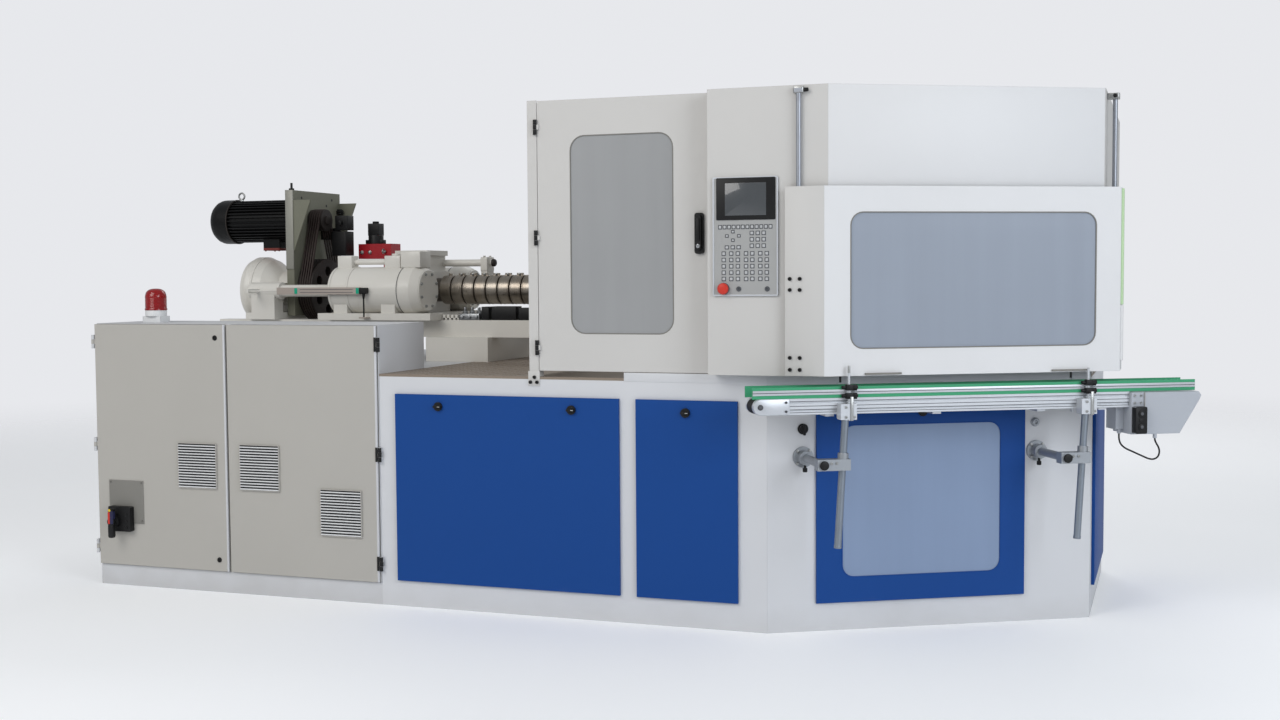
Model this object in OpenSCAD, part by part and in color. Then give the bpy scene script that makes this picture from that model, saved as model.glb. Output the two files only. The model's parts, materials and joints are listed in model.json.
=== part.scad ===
// Injection blow molding machine with three stations, a plasticising unit and a take-off conveyor.
// X runs along the machine towards the take-off end, Y towards the rear, Z up.
// The origin lies on the floor, on the axis of the index table.

/* [Base] */
// Height of the deck above the floor
base_h = 1165; // [1100:5:1230]
// Half of the width across the front and rear walls
base_half_w = 1395; // [1350:5:1450]
// Length of the straight front wall
front_len = 2000; // [1950:5:2100]
// X of the corner where the chamfered wall starts
corner_x = -112; // [-140:1:-90]
// Run of the chamfered wall along X
chamfer_run = 1377; // [1340:1:1420]
// Angle of the chamfered wall
chamfer_deg = 30; // [29:0.5:31]
// Thickness of the wall plates
wall_t = 5; // [4:0.5:6]
// Thickness of the chequered deck plate
deck_t = 12; // [8:1:16]
// Thickness of the bottom plate
floor_t = 10; // [8:1:14]

/* [Service panels] */
// Lower edge of the blue panels
panel_z0 = 131; // [115:1:150]
// Drop of the blue panels' upper edge below the deck
panel_drop = 97; // [85:1:115]
// Depth of the folded panel edge
panel_d = 15; // [12:1:20]
// Overlap of a panel on its wall opening
panel_lap = 28; // [22:1:34]
// Sheet thickness of panels, doors and guards
sheet_t = 3; // [2.5:0.5:4]
// Width of the large panel
large_w = 1187; // [1150:1:1200]
// Width of the small panel
small_w = 496; // [470:1:510]
// Width of the chamfer panel
chamfer_panel_w = 1019; // [990:1:1030]
// Width of the window in the chamfer panel
base_window_w = 776; // [740:1:790]
// Height of the chamfer panel's strip above its window
window_above = 113; // [100:1:130]
// Drop of the latch axis below the upper panel edge
latch_drop = 58; // [54:1:62]

/* [Cabinet] */
// Length of the injection bed and of the cabinet before it
bed_len = 1720; // [1680:5:1760]
// Half width of the injection bed
bed_half_w = 915; // [890:5:940]
// Height of the plinth under the cabinet
plinth_h = 110; // [90:5:130]
// Rise of the cabinet's top above the deck
cab_rise = 245; // [215:5:285]
// Depth of the doors
door_d = 25; // [20:1:30]
// Size of a louvred vent
vent_w = 230; // [210:2:250]
// Number of louvres in a vent
louvre_n = 16; // [12:1:18]
// Pitch of the louvres
louvre_pitch = 14.5; // [13.5:0.5:15.5]

/* [Guard] */
// Gap between the deck and the guard
guard_gap = 30; // [23:1:35]
// Height of the guard
guard_h = 1288; // [1281:1:1305]
// Distance of the control column in front of the door plane
column_out = 100; // [92:1:108]
// Distance of the upper chamfer panel in front of the base chamfer
upper_out = 239; // [234:1:244]
// Distance of the lifting guard in front of the control column
lift_gap = 30; // [28:1:34]
// Height of the lifting guard
lift_h = 839; // [812:1:862]
// Width of the guard door
door_w = 873; // [868:1:875]
// Thickness of the guard door
guard_door_d = 30; // [26:1:34]
// Margins of the door window: left, right, below and above
door_window_margin = [168, 192, 179, 174];
// Margins of the window in the lifting guard: at the sides, below and above
lift_window_margin = [121, 121, 115];
// Thickness of the frosted panes
pane_t = 6; // [5:0.5:8]
// Diameter of the lifting guard's guide rods
rail_d = 22; // [20:1:23]

/* [Press] */
// Height of the closed parting plane above the deck, level with the barrel axis
parting_rise = 405; // [395:1:415]
// Clamp opening stroke
clamp_stroke = 160; // [140:5:170]
// Height of one mould half
mould_h = 120; // [110:5:130]
// Radius of the index table
table_r = 390; // [380:1:392]
// Diameter of the tie bars
tie_d = 80; // [70:1:84]
// Radial place of the tie bars
tie_radial = 590; // [580:1:600]
// Distance of the tie bars to either side of a station
tie_side = 470; // [460:1:480]
// Number of core rods on each face of the table
rod_n = 8; // [6:1:8]
// Pitch of the core rods
rod_pitch = 54; // [48:1:56]

/* [Plasticising unit] */
// Outside diameter of the heater bands
band_d = 170; // [166:1:176]
// Diameter of the screw
screw_d = 80; // [70:1:85]
// Outside diameter of the barrel
barrel_d = 140; // [132:1:148]
// Width of one heater band
band_w = 64; // [56:1:66]
// Pitch of the heater bands
band_pitch = 75; // [72:1:80]
// Sideways place of the injection cylinders
ram_y = 300; // [290:1:310]
// Outside diameter of the injection cylinders
ram_d = 270; // [260:1:276]
// Injection stroke of the screw
inject_stroke = 160; // [140:5:170]
// Diameter of the piston rods
piston_rod_d = 70; // [60:1:76]
// Diameter of the large pulley
large_pulley_d = 380; // [360:2:384]
// Diameter of the motor pulley
small_pulley_d = 130; // [120:2:140]
// Number of V-belts
belt_n = 5; // [4:1:5]
// Height of the motor shaft above the screw axis
motor_rise = 425; // [415:1:435]
// Length of the motor with its fan cowl
motor_len = 624; // [590:2:660]
// Diameter of the motor housing over its fins
motor_d = 266; // [256:2:276]

/* [Conveyor] */
// Drop of the conveyor profiles' upper face below the deck
conv_drop = 61; // [55:1:69]
// Height of the conveyor profiles
conv_h = 72; // [64:1:80]
// Length of the conveyor profiles
conv_len = 1740; // [1700:5:1780]
// Lean of the two posts
post_lean = 3.4; // [2:0.2:5]
// Diameter of the posts
post_d = 32; // [28:1:36]
// Height of the guide rails
guide_h = 50; // [42:1:52]

/* [Hidden] */
$fn = 64;
run_fit = 0.1;
gap = 0.3;
base_x0 = corner_x - front_len;
base_x1 = corner_x + chamfer_run;
end_half_w = base_half_w - chamfer_run * tan(chamfer_deg);
bed_x0 = base_x0 - bed_len;
front_y = -base_half_w;
BASE_PATH = [[base_x0, front_y], [corner_x, front_y], [base_x1, -end_half_w],
    [base_x1, end_half_w], [corner_x, base_half_w], [base_x0, base_half_w]];

// Blue panels along the front wall
panel_z1 = base_h - panel_drop;
large_x1 = corner_x - 718;
small_x1 = corner_x - 137;
latch_z = panel_z1 - latch_drop;
chamfer_panel_s = 231;
window_low = 117;
base_window_h = panel_z1 - panel_z0 - window_low - window_above;
panel_window_r = 58;
latch_xs = [large_x1 - large_w + 241, large_x1 - 239, small_x1 - 249];
latch_s = chamfer_panel_s + chamfer_panel_w / 2;
latch_shaft_d = 18;
latch_knob_d = 44;
cam_reach = 46;
cam_gap = 3;
cam_t = 5;

// Cabinet doors, hinges and fittings
door_proud = 15;
cab_top = base_h + cab_rise;
cab_front = front_y + door_d - door_proud;
door_front = front_y - door_proud;
left_door_x = [bed_x0 + 5, base_x0 - 898];
right_door_x = [base_x0 - 884, base_x0 - 8];
door_z = [plinth_h + 4, cab_top - 4];
hinge_d = 16;
hinge_h = 72;
hinge_inset = 98;
hinge_zs = [plinth_h + hinge_inset, (plinth_h + cab_top) / 2, cab_top - hinge_inset];
hinge_y = door_front - 1;
left_hinge_x = left_door_x[0] - 12;
right_hinge_x = right_door_x[1] + 13;
hinge_pin_d = 8;
louvre_slot_h = 6;
louvre_vents = [[left_door_x[1] - 178, 550], [right_door_x[0] + 188, 552], [right_door_x[1] - 211, 339]];
isolator_x = left_door_x[0] + 135;
isolator_z = 356;
isolator_plate_t = 3;
isolator_box_d = 34;
isolator_shaft_d = 16;
beacon_at = [left_door_x[0] + 235, front_y + 200];

// Guard outline
guard_z0 = base_h + guard_gap;
guard_z1 = guard_z0 + guard_h;
guard_x0 = corner_x - 1179;
post_w = 49;
door_x0 = guard_x0 + post_w + 3;
door_x1 = door_x0 + door_w;
column_x0 = door_x1 + 4;
column_y = front_y - column_out;
base_end_out = 63;
end_x = base_x1 + base_end_out;
upper_s0 = (upper_out * cos(chamfer_deg) - column_out) / sin(chamfer_deg);
upper_s1 = (base_end_out + chamfer_run - upper_out * sin(chamfer_deg)) / cos(chamfer_deg);
door_hinge_x = door_x0 - 8;
door_hinge_y = front_y - 9;
door_hinge_low = guard_z0 + 111;
door_hinge_high = guard_z1 - 127;
door_hinge_zs = [door_hinge_low, (door_hinge_low + door_hinge_high) / 2, door_hinge_high];
door_window_x = [door_x0 + door_window_margin[0], door_x1 - door_window_margin[1]];
door_window_z = [guard_z0 + door_window_margin[2], guard_z1 - door_window_margin[3]];
handle_x = door_x1 - 63;
handle_z = guard_z0 + 720;
window_r = 70;
lift_y = column_y - lift_gap;
lift_out = upper_out + 21;
lift_s0 = (lift_out * cos(chamfer_deg) - column_out - lift_gap) / sin(chamfer_deg);
lift_end_gap = 72;
lift_s1 = (base_end_out + lift_end_gap + chamfer_run - lift_out * sin(chamfer_deg)) / cos(chamfer_deg);
lift_z0 = guard_z0 + 3;
lift_top = lift_z0 + lift_h;
lift_window_s = [lift_s0 + lift_window_margin[0], lift_s1 - lift_window_margin[0]];
lift_window_z = [lift_z0 + lift_window_margin[1], lift_top - lift_window_margin[2]];
lift_window_r = 58;
bush_h = 66;
bush_zs = [lift_z0 + 20, lift_z0 + 374];
lift_return = 200;
lift_wing = 178;
rail_x = corner_x + 176;
rail_y = column_y - 14.5;
right_rail = [end_x + lift_end_gap / 2, chamfer_at(lift_s1, lift_out).y + 117];
panel_box = [column_x0 + 27, column_x0 + 331];
panel_box_z = [guard_z0 + 358, guard_z0 + 892];
panel_box_d = 8;
stop_at = [panel_box[0] + 52, panel_box_z[0] + 33];
stop_shaft_d = 22;

// Press
mould_r = [450, 700];
mould_half = 290;
platen_h = 90;
parting_z = base_h + parting_rise;
lower_top = parting_z - mould_h;
lower_t = 120;
upper_open = parting_z + clamp_stroke + mould_h;
table_up = parting_z + clamp_stroke / 2;
bar_h = 60;
rod_d = 22;
rod_end = 600;
cavity_d = 34;
crown_z = upper_open + platen_h + 240;
clamp_rod_d = 90;
STRIP_STATION = 300;
strip_bar_d = 30;
strip_bar_y = 190;
platen_half = 540;
platen_r = [440, 760];
crown_t = 90;
spindle_d = 140;
table_pin_d = 90;
nozzle_seat_r = 796;
STATIONS = [180, 60];

// Plasticising unit
unit_z = parting_z;
beam_top = unit_z - 170;
beam_low = beam_top - 98;
bed_foot_half = 345;
beam_y = [200, 290];
ram_x = [-2985, -2535];
cap_x1 = -2406;
ram_bore_d = 180;
feed_x = [-2707, -2493];
feed_top = unit_z + 232;
throat_d = 90;
feeder_bolt_d = 14;
pipe_y = 105;
pipe_d = 42;
pipe_end_x = feed_x[1] + 322;
barrel_x = [-2600, -960];
nozzle_x = -nozzle_seat_r - gap;
band_x0 = -2366;
band_n = 18;
plate_x = [-3392, -3342];
pulley_x = [-3337, -3242];
motor_x0 = plate_x[0] - motor_len;
hub_x0 = plate_x[0] - 372;
hub_bore_d = 90;
motor_z = unit_z + motor_rise;
shaft_d = 55;
groove_pitch = (pulley_x[1] - pulley_x[0]) / (belt_n + 1);
belt_t = 12;
gauge_y = -ram_y - ram_d / 2 - 4;
gauge_x = [-3305, -2759];
follower_d = 8;

// Conveyor, in the chamfer's own directions: s along it, d out from it
conv_top = base_h - conv_drop;
conv_mid = 770;
conv_s0 = conv_mid - conv_len / 2;
drive_s = conv_s0 + conv_len;
conv_d = [140, 270];
conv_side = 25;
roller_d = 62;
belt_skin = 3;
belt_clear = 2;
belt_y = [-conv_d[1] + conv_side + belt_clear, -conv_d[0] - conv_side - belt_clear];
roller_s = conv_s0 - 4;
roller_shaft_d = 20;
post_s = [262, 1396];
arm_s = [post_s[0] - 93, post_s[1] - 85];
arm_d = 38;
arm_end = 30;
clamp_half = 26;
arm_z = conv_top - 292;
post_out = 300;
post_z = [conv_top - 663, conv_top - 44];
// The cord's route, from the drive housing's near end and the conveyor's upper face
CORD_POINTS = [[-15, 205, -199], [-15, 205, -216], [-13, 206, -232], [-8, 209, -247], [2, 214, -260],
    [17, 221, -271], [35, 229, -280], [53, 237, -289], [71, 245, -298], [89, 254, -307], [106, 262, -314],
    [123, 270, -315], [137, 277, -307], [144, 281, -292], [144, 284, -274], [138, 285, -257],
    [129, 285, -242], [122, 285, -228], [120, 285, -216]];
cord_end = CORD_POINTS[len(CORD_POINTS) - 1];
cord_sides = 10;
gland_d = 18;
cord_d = 8;

// Geometry helpers
function direction(a, b) = (b - a) / norm(b - a);
function inward(a, b) = let (u = direction(a, b)) [-u.y, u.x];
function mitre(path, i, t) = let (
    n0 = inward(path[max(i - 1, 0)], path[max(i - 1, 0) + 1]),
    n1 = inward(path[min(i, len(path) - 2)], path[min(i, len(path) - 2) + 1])
) path[i] + t * (n0 + n1) / (1 + n0 * n1);
function wall_outline(path, i, t) = [path[i], path[i + 1], mitre(path, i + 1, t), mitre(path, i, t)];
function sheet_outline(path, t) = concat(path, [for (i = [len(path) - 1:-1:0]) mitre(path, i, t)]);
function inset(path, t) = [for (i = [0:len(path) - 1]) mitre(path, i, t)];
function span(middle, half) = [middle - half, middle + half];
function chamfer_at(s, d) = [corner_x + s * cos(chamfer_deg) + d * sin(chamfer_deg),
    front_y + s * sin(chamfer_deg) - d * cos(chamfer_deg)];

module box(x, y, z) {
    translate([x[0], y[0], z[0]]) cube([x[1] - x[0], y[1] - y[0], z[1] - z[0]]);
}
module upright(path, z) {
    translate([0, 0, z[0]]) linear_extrude(z[1] - z[0]) polygon(path);
}
module rod_x(x, y, z, d) {
    translate([x[0], y, z]) rotate([0, 90, 0]) cylinder(d = d, h = x[1] - x[0]);
}
module rod_y(x, y, z, d) {
    translate([x, y[1], z]) rotate([90, 0, 0]) cylinder(d = d, h = y[1] - y[0]);
}
module rod_z(x, y, z, d) {
    translate([x, y, z[0]]) cylinder(d = d, h = z[1] - z[0]);
}
// A flat outline in X and Z, made thick along Y
module facing(y) {
    translate([0, y[1], 0]) rotate([90, 0, 0]) linear_extrude(y[1] - y[0]) children();
}
module soft_rect(x, z, r) {
    translate([x[0] + r, z[0]]) square([x[1] - x[0] - 2 * r, z[1] - z[0]]);
    translate([x[0], z[0] + r]) square([x[1] - x[0], z[1] - z[0] - 2 * r]);
    for (u = [x[0] + r, x[1] - r], v = [z[0] + r, z[1] - r]) translate([u, v]) circle(r = r);
}
// A sheet folded back along its four edges
module tray(x, y, z, t) {
    difference() {
        box(x, y, z);
        box([x[0] + t, x[1] - t], [y[0] + t, y[1] + 1], [z[0] + t, z[1] - t]);
    }
}
module on_chamfer() {
    translate([corner_x, front_y, 0]) rotate([0, 0, chamfer_deg]) children();
}
module at_station(angle) {
    rotate([0, 0, angle]) children();
}

// Base
module floor_plate() {
    outline = [for (p = inset(BASE_PATH, wall_t)) [max(p.x, base_x0 + wall_t), p.y]];
    color("gainsboro") upright(outline, [0, floor_t]);
}
module front_frame() {
    color("whitesmoke") difference() {
        upright(wall_outline(BASE_PATH, 0, wall_t), [0, base_h - deck_t]);
        for (x = [[large_x1 - large_w, large_x1], [small_x1 - small_w, small_x1]])
            box([x[0] + panel_lap, x[1] - panel_lap], [front_y - 1, front_y + wall_t + 1],
                [panel_z0 + panel_lap, panel_z1 - panel_lap]);
    }
}
module chamfer_frame() {
    color("whitesmoke") difference() {
        upright(wall_outline(BASE_PATH, 1, wall_t), [0, base_h - deck_t]);
        on_chamfer() box([chamfer_panel_s + panel_lap, chamfer_panel_s + chamfer_panel_w - panel_lap],
            [-1, wall_t + 1], [panel_z0 + panel_lap, panel_z1 - panel_lap]);
    }
}
module base_back_walls() {
    end_panel_half = end_half_w - 130;
    outer = [for (i = [2:5]) BASE_PATH[i]];
    step = [[base_x0, bed_half_w], [base_x0 + wall_t, bed_half_w], [base_x0 + wall_t, base_half_w - wall_t]];
    inner = [for (i = [4:-1:2]) mitre(BASE_PATH, i, wall_t)];
    color("whitesmoke") {
        upright(concat(outer, step, inner), [0, base_h - deck_t]);
        box([base_x1 - 1, base_x1 + panel_d], [-end_panel_half, end_panel_half], [panel_z0, panel_z1]);
    }
}
module injection_bed() {
    color("whitesmoke") box([bed_x0, base_x0], [-bed_half_w, bed_half_w], [0, base_h]);
}
module base_deck() {
    color("rosybrown") upright(BASE_PATH, [base_h - deck_t, base_h]);
}
module power_pack() {
    tank_x = [base_x0 + 262, base_x0 + 1162];
    tank_y = [-700, 500];
    tank_top = 520;
    motor_x = [tank_x[0] + 200, tank_x[0] + 600];
    motor_y = -300;
    axis_z = tank_top + 140;
    color("slategray") {
        box(tank_x, tank_y, [floor_t, tank_top]);
        rod_x(motor_x, motor_y, axis_z, 280);
        box([motor_x[0] + 50, motor_x[1] - 50], span(motor_y, 80), [tank_top - 1, tank_top + 60]);
        rod_x([motor_x[1] - 1, motor_x[1] + 130], motor_y, axis_z, 160);
    }
}

// Cabinet
module hinge_knuckles(x, y, z) {
    third = hinge_h / 3;
    rod_z(x, y, [z - hinge_h / 2, z + hinge_h / 2], hinge_pin_d);
    for (low = [z - hinge_h / 2, z + third / 2]) rod_z(x, y, [low, low + third], hinge_d);
}
module hinge_middle(x, y, z) {
    rod_z(x, y, [z - hinge_h / 6 + gap, z + hinge_h / 6 - gap], hinge_d);
}
module cabinet_shell() {
    leaf = 4;
    left_leaf = left_hinge_x - hinge_d / 2;
    right_leaf = right_hinge_x + hinge_d / 2;
    mullion = [base_x0 - 911, base_x0 - 871];
    foot = [116, 80, 34];
    color("gainsboro") {
        difference() {
            box([bed_x0, base_x0], [cab_front + gap, -bed_half_w], [0, cab_top]);
            box([bed_x0 + sheet_t, base_x0 - sheet_t], [cab_front - 1, -bed_half_w - sheet_t],
                [plinth_h, cab_top - sheet_t]);
        }
        box([bed_x0, base_x0], [front_y, cab_front + gap], [0, plinth_h]);
        box(mullion, [cab_front + gap, cab_front + 40], [plinth_h - 1, cab_top - sheet_t + 1]);
        for (z = hinge_zs) {
            hinge_knuckles(left_hinge_x, hinge_y, z);
            hinge_knuckles(right_hinge_x, hinge_y, z);
            for (low = [z - hinge_h / 2, z + hinge_h / 6]) {
                z2 = [low, low + hinge_h / 3];
                box([left_leaf, left_leaf + leaf], [hinge_y, cab_front + 20], z2);
                box([left_leaf, bed_x0 + sheet_t], [cab_front + 10, cab_front + 20], z2);
                box([right_hinge_x - leaf / 2, right_leaf], [hinge_y, front_y - 1], z2);
                box([base_x0 - sheet_t, right_leaf], [front_y - 5, front_y - 1], z2);
            }
        }
        box([base_x0 - sheet_t, base_x0], [front_y - 5, cab_front + 1], [plinth_h, cab_top]);
        translate([beacon_at.x, beacon_at.y, cab_top]) {
            translate([-foot.x / 2, -foot.y / 2, 0]) cube(foot);
            translate([0, 0, foot.z]) cylinder(d = 112, h = 20);
        }
    }
}
module louvres(x, z) {
    for (i = [0:louvre_n - 1]) translate([x - vent_w / 2, 0, z + i * louvre_pitch]) children();
}
module louvre_slot() {
    translate([0, door_front - 1, 0]) cube([vent_w, sheet_t + 2, louvre_slot_h]);
}
module louvre_hood() {
    hood = louvre_slot_h;
    translate([0, door_front, louvre_slot_h]) rotate([90, 0, 90]) linear_extrude(vent_w)
        polygon([[0, hood / 2], [sheet_t, hood / 2], [0, 0], [-hood, -hood]]);
}
module cabinet_door(x, hinge_x, vents) {
    difference() {
        tray(x, [door_front, cab_front], door_z, sheet_t);
        for (v = vents) louvres(v[0], v[1]) louvre_slot();
    }
    for (v = vents) louvres(v[0], v[1]) louvre_hood();
    edge = hinge_x < x[0] ? x[0] : x[1];
    for (z = hinge_zs) difference() {
        union() {
            hinge_middle(hinge_x, hinge_y, z);
            box([min(hinge_x, edge), max(hinge_x, edge)], [door_front, door_front + sheet_t],
                [z - hinge_h / 6 + gap, z + hinge_h / 6 - gap]);
        }
        rod_z(hinge_x, hinge_y, [z - hinge_h, z + hinge_h], hinge_pin_d + run_fit);
    }
}
module cabinet_left_door() {
    plate_t = isolator_plate_t;
    face = door_front - plate_t - isolator_box_d;
    color("darkgray") difference() {
        union() {
            cabinet_door(left_door_x, left_hinge_x, [louvre_vents[0]]);
            box([isolator_x - 62, isolator_x + 157], [door_front - plate_t, door_front + 1],
                [isolator_z - 16, isolator_z + 215]);
            box([isolator_x - 45, isolator_x + 92], [face, door_front - plate_t + 1],
                [isolator_z - 55, isolator_z + 75]);
        }
        rod_y(isolator_x, [face - 1, face + 20], isolator_z, isolator_shaft_d + run_fit);
    }
}
module cabinet_right_door() {
    color("darkgray") cabinet_door(right_door_x, right_hinge_x, [louvre_vents[1], louvre_vents[2]]);
}
module isolator_handle() {
    face = door_front - isolator_plate_t - isolator_box_d;
    color("crimson") {
        rod_y(isolator_x, [face - 30, face + 18], isolator_z, isolator_shaft_d);
        rod_y(isolator_x, [face - 22, face - gap], isolator_z, 64);
        facing([face - 42, face - 22]) {
            translate([isolator_x, isolator_z]) circle(d = 44);
            soft_rect([isolator_x - 15, isolator_x + 15], [isolator_z - 84, isolator_z + 70], 12);
        }
    }
}
module switchgear() {
    back = -bed_half_w - sheet_t;
    plate_t = 8;
    edge = 120;
    col_pitch = 190;
    row_pitch = 260;
    unit = [110, 140];
    color("silver") {
        box([bed_x0 + edge, base_x0 - edge], [back - plate_t, back], [plinth_h + edge, cab_top - 110]);
        for (row = [0:3], col = [0:6]) {
            x = bed_x0 + 220 + col * col_pitch;
            z = plinth_h + 190 + row * row_pitch;
            depth = row == 3 ? 150 : 90;
            box([x, x + unit.x], [back - plate_t - depth, back - plate_t + 1], [z, z + unit.y]);
        }
    }
}
module beacon_lens() {
    lens = [[0, 54], [50, 54], [50, 66], [46, 70], [46, 160], [40, 176], [28, 182], [0, 184]];
    color("red") translate([beacon_at.x, beacon_at.y, cab_top]) rotate_extrude() polygon(lens);
}

// Service panels
module large_panel() {
    color("royalblue") difference() {
        tray([large_x1 - large_w, large_x1], [front_y - panel_d, front_y - gap], [panel_z0, panel_z1],
            sheet_t);
        for (i = [0, 1])
            rod_y(latch_xs[i], [front_y - 2 * panel_d, front_y], latch_z, latch_shaft_d + run_fit);
    }
}
module small_panel() {
    color("royalblue") difference() {
        tray([small_x1 - small_w, small_x1], [front_y - panel_d, front_y - gap], [panel_z0, panel_z1],
            sheet_t);
        rod_y(latch_xs[2], [front_y - 2 * panel_d, front_y], latch_z, latch_shaft_d + run_fit);
    }
}
module chamfer_panel_window(grow) {
    w0 = chamfer_panel_s + (chamfer_panel_w - base_window_w) / 2;
    z0 = panel_z0 + window_low;
    soft_rect([w0 - grow, w0 + base_window_w + grow], [z0 - grow, z0 + base_window_h + grow],
        panel_window_r + grow);
}
module chamfer_panel() {
    color("royalblue") on_chamfer() difference() {
        tray([chamfer_panel_s, chamfer_panel_s + chamfer_panel_w], [-panel_d, -gap], [panel_z0, panel_z1],
            sheet_t);
        facing([-2 * panel_d, 1]) chamfer_panel_window(0);
        rod_y(latch_s, [-2 * panel_d, 0], latch_z, latch_shaft_d + run_fit);
    }
}
module chamfer_window() {
    color("lightsteelblue") on_chamfer() facing([-panel_d + sheet_t, -panel_d + sheet_t + pane_t])
        chamfer_panel_window(24);
}
// A quarter-turn latch: wing knob, shaft and a cam that turns up behind the wall
module latch(x) {
    knob_y = -panel_d - gap;
    knob_h = 10;
    wing_h = 14;
    cam_y = wall_t + cam_gap;
    cam_half = latch_shaft_d / 2;
    rod_y(x, [knob_y, cam_y + cam_t], latch_z, latch_shaft_d);
    rod_y(x, [knob_y - knob_h, knob_y], latch_z, latch_knob_d);
    facing([knob_y - knob_h - wing_h, knob_y - knob_h]) translate([x, latch_z])
        soft_rect([-20, 20], [-6, 6], 5);
    facing([cam_y, cam_y + cam_t]) translate([x, latch_z])
        soft_rect([-cam_half, cam_reach], [-cam_half, cam_half], 8);
}
module latch_left() {
    color("black") translate([0, front_y, 0]) latch(latch_xs[0]);
}
module latch_right() {
    color("black") translate([0, front_y, 0]) latch(latch_xs[1]);
}
module latch_small() {
    color("black") translate([0, front_y, 0]) latch(latch_xs[2]);
}
module latch_chamfer() {
    color("black") on_chamfer() latch(latch_s);
}

// Guard
module guard_left_wall() {
    gate = 450;
    lintel = unit_z + 330;
    foot = 60;
    leaf = 14;
    color("whitesmoke") {
        upright(sheet_outline([[guard_x0, -gate], [guard_x0, front_y], [guard_x0 + post_w, front_y]],
            sheet_t), [guard_z0, guard_z1]);
        box([guard_x0, guard_x0 + sheet_t], [gate, base_half_w - sheet_t], [guard_z0, guard_z1]);
        box([guard_x0, guard_x0 + sheet_t], [-gate - 1, gate + 1], [lintel, guard_z1]);
        for (y = [-gate - foot, gate])
            box([guard_x0, guard_x0 + foot], [y, y + foot], [base_h, guard_z0 + 1]);
        box([guard_x0, guard_x0 + post_w], [front_y, front_y + foot], [base_h, guard_z0 + 1]);
        for (z = door_hinge_zs) {
            hinge_knuckles(door_hinge_x, door_hinge_y, z);
            for (low = [z - hinge_h / 2, z + hinge_h / 6])
                box([door_hinge_x - leaf, door_hinge_x], [door_hinge_y - 1, front_y + 1],
                    [low, low + hinge_h / 3]);
        }
    }
}
module guard_door_window(grow) {
    soft_rect([door_window_x[0] - grow, door_window_x[1] + grow],
        [door_window_z[0] - grow, door_window_z[1] + grow], window_r + grow);
}
module guard_door() {
    color("whitesmoke") {
        difference() {
            tray([door_x0, door_x1], [front_y, front_y + guard_door_d], [guard_z0, guard_z1 - 3], sheet_t);
            facing([front_y - 1, front_y + sheet_t + 1]) guard_door_window(0);
            rod_y(handle_x, [front_y - 1, front_y + 20], handle_z, 14 + run_fit);
        }
        for (z = door_hinge_zs) difference() {
            union() {
                hinge_middle(door_hinge_x, door_hinge_y, z);
                box([door_hinge_x, door_x0 + 10], [door_hinge_y - 1, door_hinge_y + 3],
                    [z - hinge_h / 6 + gap, z + hinge_h / 6 - gap]);
                box([door_x0, door_x0 + 10], [door_hinge_y - 1, front_y],
                    [z - hinge_h / 6 + gap, z + hinge_h / 6 - gap]);
            }
            rod_z(door_hinge_x, door_hinge_y, [z - hinge_h, z + hinge_h], hinge_pin_d + run_fit);
        }
    }
}
module guard_window() {
    color("silver") facing([front_y + sheet_t, front_y + sheet_t + pane_t]) guard_door_window(22);
}
module guard_handle() {
    back = front_y - gap;
    foot_t = 14;
    lever_t = 16;
    r = 12;
    color("black") {
        rod_y(handle_x, [back - 18, front_y + 18], handle_z, 14);
        facing([back - foot_t, back])
            soft_rect(span(handle_x, 22), [handle_z - 169, handle_z + 19], r);
        facing([back - foot_t - lever_t, back - foot_t])
            soft_rect(span(handle_x, 13), [handle_z - 151, handle_z + 11], r);
    }
}
module guard_column() {
    lip = 60;
    corner = chamfer_at(upper_s0, upper_out);
    path = [[column_x0, front_y + guard_door_d], [column_x0, column_y], corner,
        chamfer_at(upper_s0 + lip, upper_out)];
    color("whitesmoke") {
        difference() {
            upright(sheet_outline(path, sheet_t), [guard_z0, guard_z1]);
            rod_y(stop_at.x, [column_y - 1, column_y + sheet_t + 1], stop_at.y, 26);
        }
        box([column_x0, column_x0 + lip], [front_y, front_y + guard_door_d], [base_h, guard_z0 + 1]);
        box([column_x0 + sheet_t - 1, corner.x - lip], [column_y + sheet_t - 1, front_y + guard_door_d],
            [guard_z0, guard_z0 + sheet_t]);
        box([column_x0 + sheet_t - 1, corner.x - lip], [column_y + sheet_t - 1, front_y + guard_door_d],
            [guard_z1 - sheet_t, guard_z1]);
    }
}
module guard_upper_panel() {
    lip = 60;
    low = lift_top - 40;
    color("white") {
        on_chamfer() {
            box([upper_s0 + lip, upper_s1 - sheet_t], [-upper_out, -upper_out + sheet_t], [low, guard_z1]);
            for (z = [low, guard_z1 - sheet_t])
                box([upper_s0 + lip, upper_s1 - 40], [-upper_out, -upper_out + 30], [z, z + sheet_t]);
        }
    }
}
module guard_back_walls() {
    far = base_half_w;
    foot = 60;
    corner = chamfer_at(upper_s0, upper_out);
    end_y = chamfer_at(upper_s1, upper_out).y;
    path = [[end_x, end_y], [end_x, -end_y], [corner.x, -corner.y], [column_x0, far + column_out],
        [column_x0, far], [guard_x0, far]];
    color("whitesmoke") {
        upright(sheet_outline(path, sheet_t), [guard_z0, guard_z1]);
        for (y = [-end_half_w + foot, end_half_w - 2 * foot]) {
            box([base_x1 - foot, end_x], [y, y + foot], [guard_z0 - 6, guard_z0 + 1]);
            box([base_x1 - foot, base_x1], [y, y + foot], [base_h, guard_z0]);
        }
        for (x = [guard_x0 + sheet_t, column_x0])
            box([x, x + foot], [far - foot, far], [base_h, guard_z0 + 1]);
    }
}
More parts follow.
